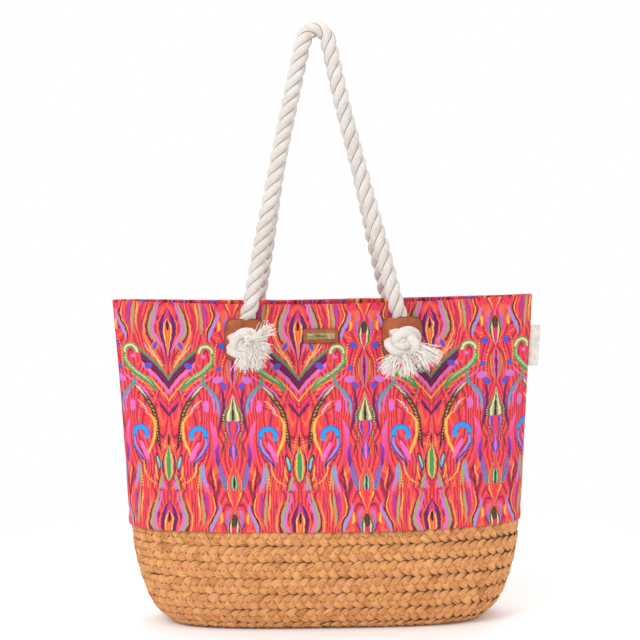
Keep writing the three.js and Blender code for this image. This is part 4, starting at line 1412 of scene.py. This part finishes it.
# Lozenges: which axis, half widths by Y, and where each ink starts from the middle (0) to the edge (1).
LOZENGES = [
    ("A", "7 0 13 5 22 11 30 13.4 38 12.6 46 9.4 56 5.6 68 3 80 0",
     "0 rose 0.14 coral 0.3 violet 0.4 purple 0.7 wine 0.76 coral 0.86 orange 0.95 wine"),
    ("A", "19 0 24 2.8 32 5.4 40 5 50 2.6 60 1.2 70 0",
     "0 orange 0.3 flame 0.5 orange 0.66 yellow 0.92 orange"),
    ("A", "20 0 24 1.5 29 1.8 35 0", "0 dark 0.7 wine"),
    ("A", "171 0 178 4.4 186 8.2 194 9.4 202 8.8 209 6 214 0",
     "0 green 0.24 sage 0.36 yellow 0.5 orange 0.64 flame 0.72 purple 0.86 dark 0.95 yellow"),
    ("B", "19 0 28 4.6 38 7.8 46 7 53 3.4 60 0",
     "0 rose 0.3 coral 0.4 cream 0.6 green 0.74 dark 0.88 orange"),
    ("B", "21 0 26 2.6 32 3.6 38 0", "0 brown 0.5 dark"),
    ("B", "61 0 68 5 80 9 90 7 98 3.4 104 0",
     "0 wine 0.14 rose 0.26 lilac 0.42 coral 0.56 orange 0.66 olive 0.74 yellow 0.82 brown 0.92 flame"),
    ("B", "108 0 118 2.6 128 6 137 9.4 141 9.8 143 0",
     "0 dark 0.16 sage 0.4 cream 0.74 green 0.88 olive"),
    ("B", "142 0 144 8.8 150 9.8 156 7 162 3 167 0",
     "0 flame 0.2 coral 0.34 violet 0.5 navy 0.6 lilac 0.76 coral 0.88 wine"),
    ("B", "165 0 172 4.4 178 6.4 184 4 191 0",
     "0 pink 0.26 violet 0.5 blue 0.64 dark 0.84 orange"),
    ("B", "-3 8.6 6 5.4 14 2 20 0", "0 coral 0.34 flame 0.6 orange 0.72 coral 0.84 yellow"),
    ("B", "191 0 200 3.8 210 8 218 9.6 226 9",
     "0 coral 0.46 green 0.52 flame 0.64 orange 0.74 coral 0.86 yellow 0.94 wine"),
    ("B", "204 0 210 3 216 3.8 222 2.4 226 1", "0 dark 0.26 green 0.5 mint 0.86 olive"),
]
# The wide chevrons under the first flame: where each ink starts, by Y + CHEVRON_DROP(X), and how far each
# chevron reaches from the axis, by where it starts.
CHEVRON_DROP = [(0, 0), (8, 10), (15, 17.6), (23, 25), (31, 32), (40, 41), (60, 62)]
CHEVRON = rows("""
90.5 green
94.2 olive
95.4 purple
102 dark
105.5 coral
106.5 pink
110.5 lilac
112 -
117 orange
118.6 yellow
120 -
126 wine
127.4 -
131 rose
134 purple
137.4 dark
139 -
""")
CHEVRON_TOP, CHEVRON_FOOT = 55, 139
CHEVRON_REACH = [(115, 33.5), (125, 27), (RIM_HEIGHT, 12)]
# Rings kept above a height: middle X and Y, radius, half width, ink and the height.
ARCS = [
    (46, 61, 7.8, 3.0, "green", 62),
    (46, 61, 7.8, 1.4, "cream", 62),
    (37, 160, 12, 0.6, "violet", 158),
    (37, 160, 8.8, 2.9, "blue", 163),
    (37, 160, 8.8, 2.3, "cyan", 161),
]
BANDS = (FIRST_Y, 72.0, 150.0, FIRST_Y + REPEAT_TALL)  # each has its own material, of the figures in it


BLEED = {"scale": 0.16, "reach": 3.4}  # how the edges of the figures wander, mm
STROKE = {"points": 11, "steepest": 2.2, "tip": 0.15, "swell": 3.4, "joined": 0.3, "gap": 0.6}
REPEATS_OFF = 20 * REPEAT_HALF  # keeps u above 0
CONTOURS = ((0.74, 0.98, "orange", 0.62), (-0.6, -0.94, "wine", 0.78))


class Cloth:
    """The print worked out at one point of the cloth."""

    def __init__(self, tree):
        u, v, _ = tree.split(tree.uv())
        bleed = tree.split(tree.wobble(tree.join(u, v), BLEED["scale"], 3.0, 0.6, colour=True))
        x = tree.math("PINGPONG", u + AXIS + REPEATS_OFF, REPEAT_HALF)
        y = tree.math("FLOORED_MODULO", v - FIRST_Y, REPEAT_TALL) + FIRST_Y
        self.tree, self.u, self.v = tree, u, v
        self.x = x + (bleed[0] - 0.5) * BLEED["reach"]
        self.y = y + (bleed[1] - 0.5) * BLEED["reach"]
        self.down = (self.y - FIRST_Y) / REPEAT_TALL
        self.at = tree.join(self.x, self.y, 1.0)
        self.tone = None

    def lay(self, share, ink):
        ink = linear(INK[ink]) if isinstance(ink, str) else ink
        self.tone = self.tree.mix(share, self.tone, ink)

    def by_height(self, points, scale, straight=False):
        """A number read off (Y, value) points. The curve node holds 0 to 1 for values of 0 to scale."""
        inside = [((y - FIRST_Y) / REPEAT_TALL, value / scale) for y, value in points]
        return self.tree.curve(self.down, inside, straight=straight) * scale

    def cover(self, room, soft=0.9):
        """How much ink there is where room is mm inside the shape's edge."""
        return self.tree.math("MULTIPLY_ADD", room, 1 / soft, 0.5)

    def broken(self, how):
        tree = self.tree
        if how == "checks":
            return tree.between(tree.sine((self.y - self.x * 0.7) * 2.3), -0.1, 0.35)
        if how == "dots":
            return tree.between(tree.sine((self.x * 0.6 + self.y) * 1.9), -0.2, 0.5)
        return tree.between(tree.sine((self.y + self.x * 1.3) * 1.75), -0.1, 0.3)

    def stroke(self, half, top_ink, foot_ink, how, *path):
        """A line of the cloth's pattern, thin at both ends but where it goes on in the next repeat."""
        tree, half, path = self.tree, float(half), pairs(path)
        y, x = np.array(path).T
        last_y = FIRST_Y + REPEAT_TALL
        fine = np.linspace(y[0], y[-1], STROKE["points"])
        slope = np.gradient(np.interp(fine, y, x), fine)
        along = (fine - y[0]) / (y[-1] - y[0])
        swell = np.minimum(1, STROKE["tip"] + STROKE["swell"] * np.minimum(along, 1 - along))
        width = half * np.minimum(np.sqrt(1 + slope**2), STROKE["steepest"]) * swell
        width[0] = STROKE["joined"] * half if y[0] == FIRST_Y else 0
        width[-1] = STROKE["joined"] * half if y[-1] == last_y else 0
        wide = [(fine[0] - STROKE["gap"], -2), *zip(fine, width), (fine[-1] + STROKE["gap"], -2)]
        wide = [point for point in wide if FIRST_Y <= point[0] <= last_y]
        room = self.by_height(wide, 10, straight=True) - abs(self.x - self.by_height(path, 80))
        share = self.cover(room)
        if how != "-":
            share = share * self.broken(how)
        ink = top_ink
        if top_ink != foot_ink:
            down = tree.between(self.y, y[0], y[-1], smooth=False)
            ink = tree.mix(down, linear(INK[top_ink]), linear(INK[foot_ink]))
        self.lay(share, ink)

    def spot(self, *words):
        """A leaning oval: X, Y, half width, half height, lean and ink."""
        tree, ink = self.tree, words[-1]
        x, y, half_wide, half_tall, lean = (float(word) for word in words[:-1])
        c, s = math.cos(lean), math.sin(lean)
        reach = []
        for a, b, half in ((c, s, half_wide), (-s, c, half_tall)):
            weights = (a / half, b / half, -(a * x + b * y) / half)
            made = tree.node("VectorMath", {0: self.at, 1: weights}, operation="DOT_PRODUCT")
            reach.append(Value(tree, made.outputs["Value"]))
        square = tree.math("MULTIPLY_ADD", reach[0], reach[0], reach[1] * reach[1])
        self.lay(tree.math("MULTIPLY_ADD", square, -2.0, 2.5), ink)

    def arc(self, x, y, radius, half, ink, lowest):
        """A ring, kept above lowest."""
        tree = self.tree
        reach = tree.node("VectorMath", {0: self.at, 1: (x, y, 1)}, operation="DISTANCE")
        room = half - abs(Value(tree, reach.outputs["Value"]) - radius)
        self.lay(self.cover(tree.minimum(room, lowest - self.y)), ink)

    def lozenge(self, axis, halves, bands):
        tree, bands = self.tree, bands.split()
        from_axis = self.x if axis == "A" else abs(REPEAT_HALF - self.x)
        wide = self.by_height(pairs(halves.split()), 20)
        inside = from_axis / tree.maximum(wide, 0.05)
        inks = [(float(place), INK[ink]) for place, ink in zip(bands[::2], bands[1::2])]
        tone = tree.ramp(inside, inks, constant=True)
        self.lay(self.cover(tree.minimum(wide - 0.3, wide - from_axis), 0.6), tone)

    def chevrons(self):
        tree = self.tree
        drop = tree.curve(self.x / 80, [(x / 80, d / 80) for x, d in CHEVRON_DROP]) * 80
        deep = self.y + drop
        for (low, ink), (high, _) in zip(CHEVRON, CHEVRON[1:]):
            low, high = float(low), float(high)
            if ink != "-":
                half = (high - low) / 2
                room = half - abs(deep - (low + half))
                beside = next(reach for starts, reach in CHEVRON_REACH if low < starts) - self.x
                self.lay(self.cover(tree.minimum(room * 0.75, beside)), ink)


def figures():
    """What is drawn on the ground, in order: its top and foot, how, and from what."""
    yield CHEVRON_TOP, CHEVRON_FOOT, Cloth.chevrons, ()
    for words in STROKES:
        yield float(words[4]), float(words[-2]), Cloth.stroke, words
    for arc in ARCS:
        yield arc[1] - arc[2], arc[1], Cloth.arc, arc
    for words in SPOTS:
        yield float(words[1]) - 6, float(words[1]) + 6, Cloth.spot, words
    for lozenge in LOZENGES:
        heights = lozenge[1].split()[::2]
        yield float(heights[0]), float(heights[-1]), Cloth.lozenge, lozenge


def print_look(low, high, near=4):
    """The print between two heights of its repeat, low and high in mm below the top."""
    tree = Tree(f"printed canvas {low:.0f}", roughness=0.85)
    cloth = Cloth(tree)
    streak = tree.wobble(tree.join(cloth.x * 0.09, cloth.v * 0.025), 1.0, 4.0, 0.6)
    ground = [(0.3, INK["flame"]), (0.45, INK["coral"]), (0.6, (244, 58, 92)), (0.75, INK["rose"])]
    cloth.tone = tree.ramp(streak, ground)
    # thin drawn lines that fill the ground between the figures
    bend = tree.wobble(tree.join(cloth.x * 0.03, cloth.v * 0.011), 1.0, 1.5)
    contour = tree.sine(bend * 68 + cloth.x * 0.95)
    for start, end, ink, amount in CONTOURS:
        cloth.lay(tree.between(contour, start, end) * amount, ink)
    for top, foot, draw, what in figures():
        if top < high + near and foot > low - near:
            draw(cloth, *what)
    threads = weave(tree, cloth.u, cloth.v, 0.75)
    slub = tree.wobble(tree.join(cloth.u * 1.4, cloth.v * 0.25), 1.0, 2.0)
    # darker where the weave's threads dip, which is painted shade between the threads, together with the real
    # slub of the yarn
    worn = tree.between(slub * 0.7 + threads * 0.25, 0.2, 0.75, 0.74, 1.0)
    tone = tree.mix(1.0, cloth.tone, tree.join(worn, worn, worn), "MULTIPLY")
    return tree.finish(tone, threads + slub * 0.5, 0.22)


def put_print(piece, looks):
    """Gives each face of a cloth the part of the print that its height falls in."""
    mesh = piece.data
    for look in looks[1:]:
        mesh.materials.append(look)
    v = np.zeros(2 * len(mesh.loops))
    mesh.uv_layers["cloth"].data.foreach_get("uv", v)
    start = np.array([face.loop_start for face in mesh.polygons])
    y = (v[1::2][start] - FIRST_Y) % REPEAT_TALL + FIRST_Y
    mesh.polygons.foreach_set("material_index", np.searchsorted(BANDS[1:-1], y).astype(np.int32))
    mesh.update()


# ---------- Studio ----------
FLOOR_HALF = 9000
LIGHTS = (  # name, place in m, size and power
    ("key", (-1.3, -1.5, 1.9), 1.1, 26),
    ("fill", (1.8, -1.6, 1.2), 1.6, 5),
    ("top", (0.2, 0.9, 2.2), 1.5, 10),
)
LIT_POINT = Vector((0, 0, 0.25))


def make_studio():
    corners = [(x * FLOOR_HALF, y * FLOOR_HALF, 0) for x, y in ((-1, -1), (1, -1), (1, 1), (-1, 1))]
    mesh_piece("floor", corners, [[0, 1, 2, 3]], studio_look(), ride=False)
    world = bpy.data.worlds.new("studio")
    bpy.context.scene.world = world
    world.use_nodes = True
    sky = world.node_tree.nodes["Background"].inputs
    sky["Color"].default_value, sky["Strength"].default_value = (1.0, 1.0, 1.0, 1.0), 1.0
    for name, place, size, power in LIGHTS:
        data = bpy.data.lights.new(name, "AREA")
        data.size = size
        data.energy = power
        lamp = bpy.data.objects.new(name, data)
        bpy.context.scene.collection.objects.link(lamp)
        lamp.location = place
        lamp.rotation_euler = (LIT_POINT - Vector(place)).to_track_quat("-Z", "Y").to_euler()
    bpy.context.scene.view_settings.view_transform = "Standard"


# ---------- Making it ----------
make_camera()
rope = cotton_rope_look("cotton rope", 0.8)
for face in ROUTES:
    make_handle(face, rope)

printed = [print_look(low, high) for low, high in zip(BANDS, BANDS[1:])]
cloth, straw = lining_look(), straw_look()
leather, yarn, knotted = leather_look(), yarn_look(), cotton_rope_look("knotted rope", 0.3)
for face in ROUTES:
    canvas_panel(face, printed)
    facing_panel(face, printed)
    lining_panel(face, cloth)
    for hand in ("left", "right"):
        patch_piece(face, hand, leather)
        knot_piece(face, hand, knotted)
        tassel_piece(face, hand, yarn)
pocket_panel(cloth)
bottom_cloth(cloth)
for index in range(WALL_ROWS):
    wall_row(index, straw)
flat_turns(straw)
label_pieces(leather, brass_look())
tag_piece(ribbon_look())
snap_pieces(steel_look())
make_studio()
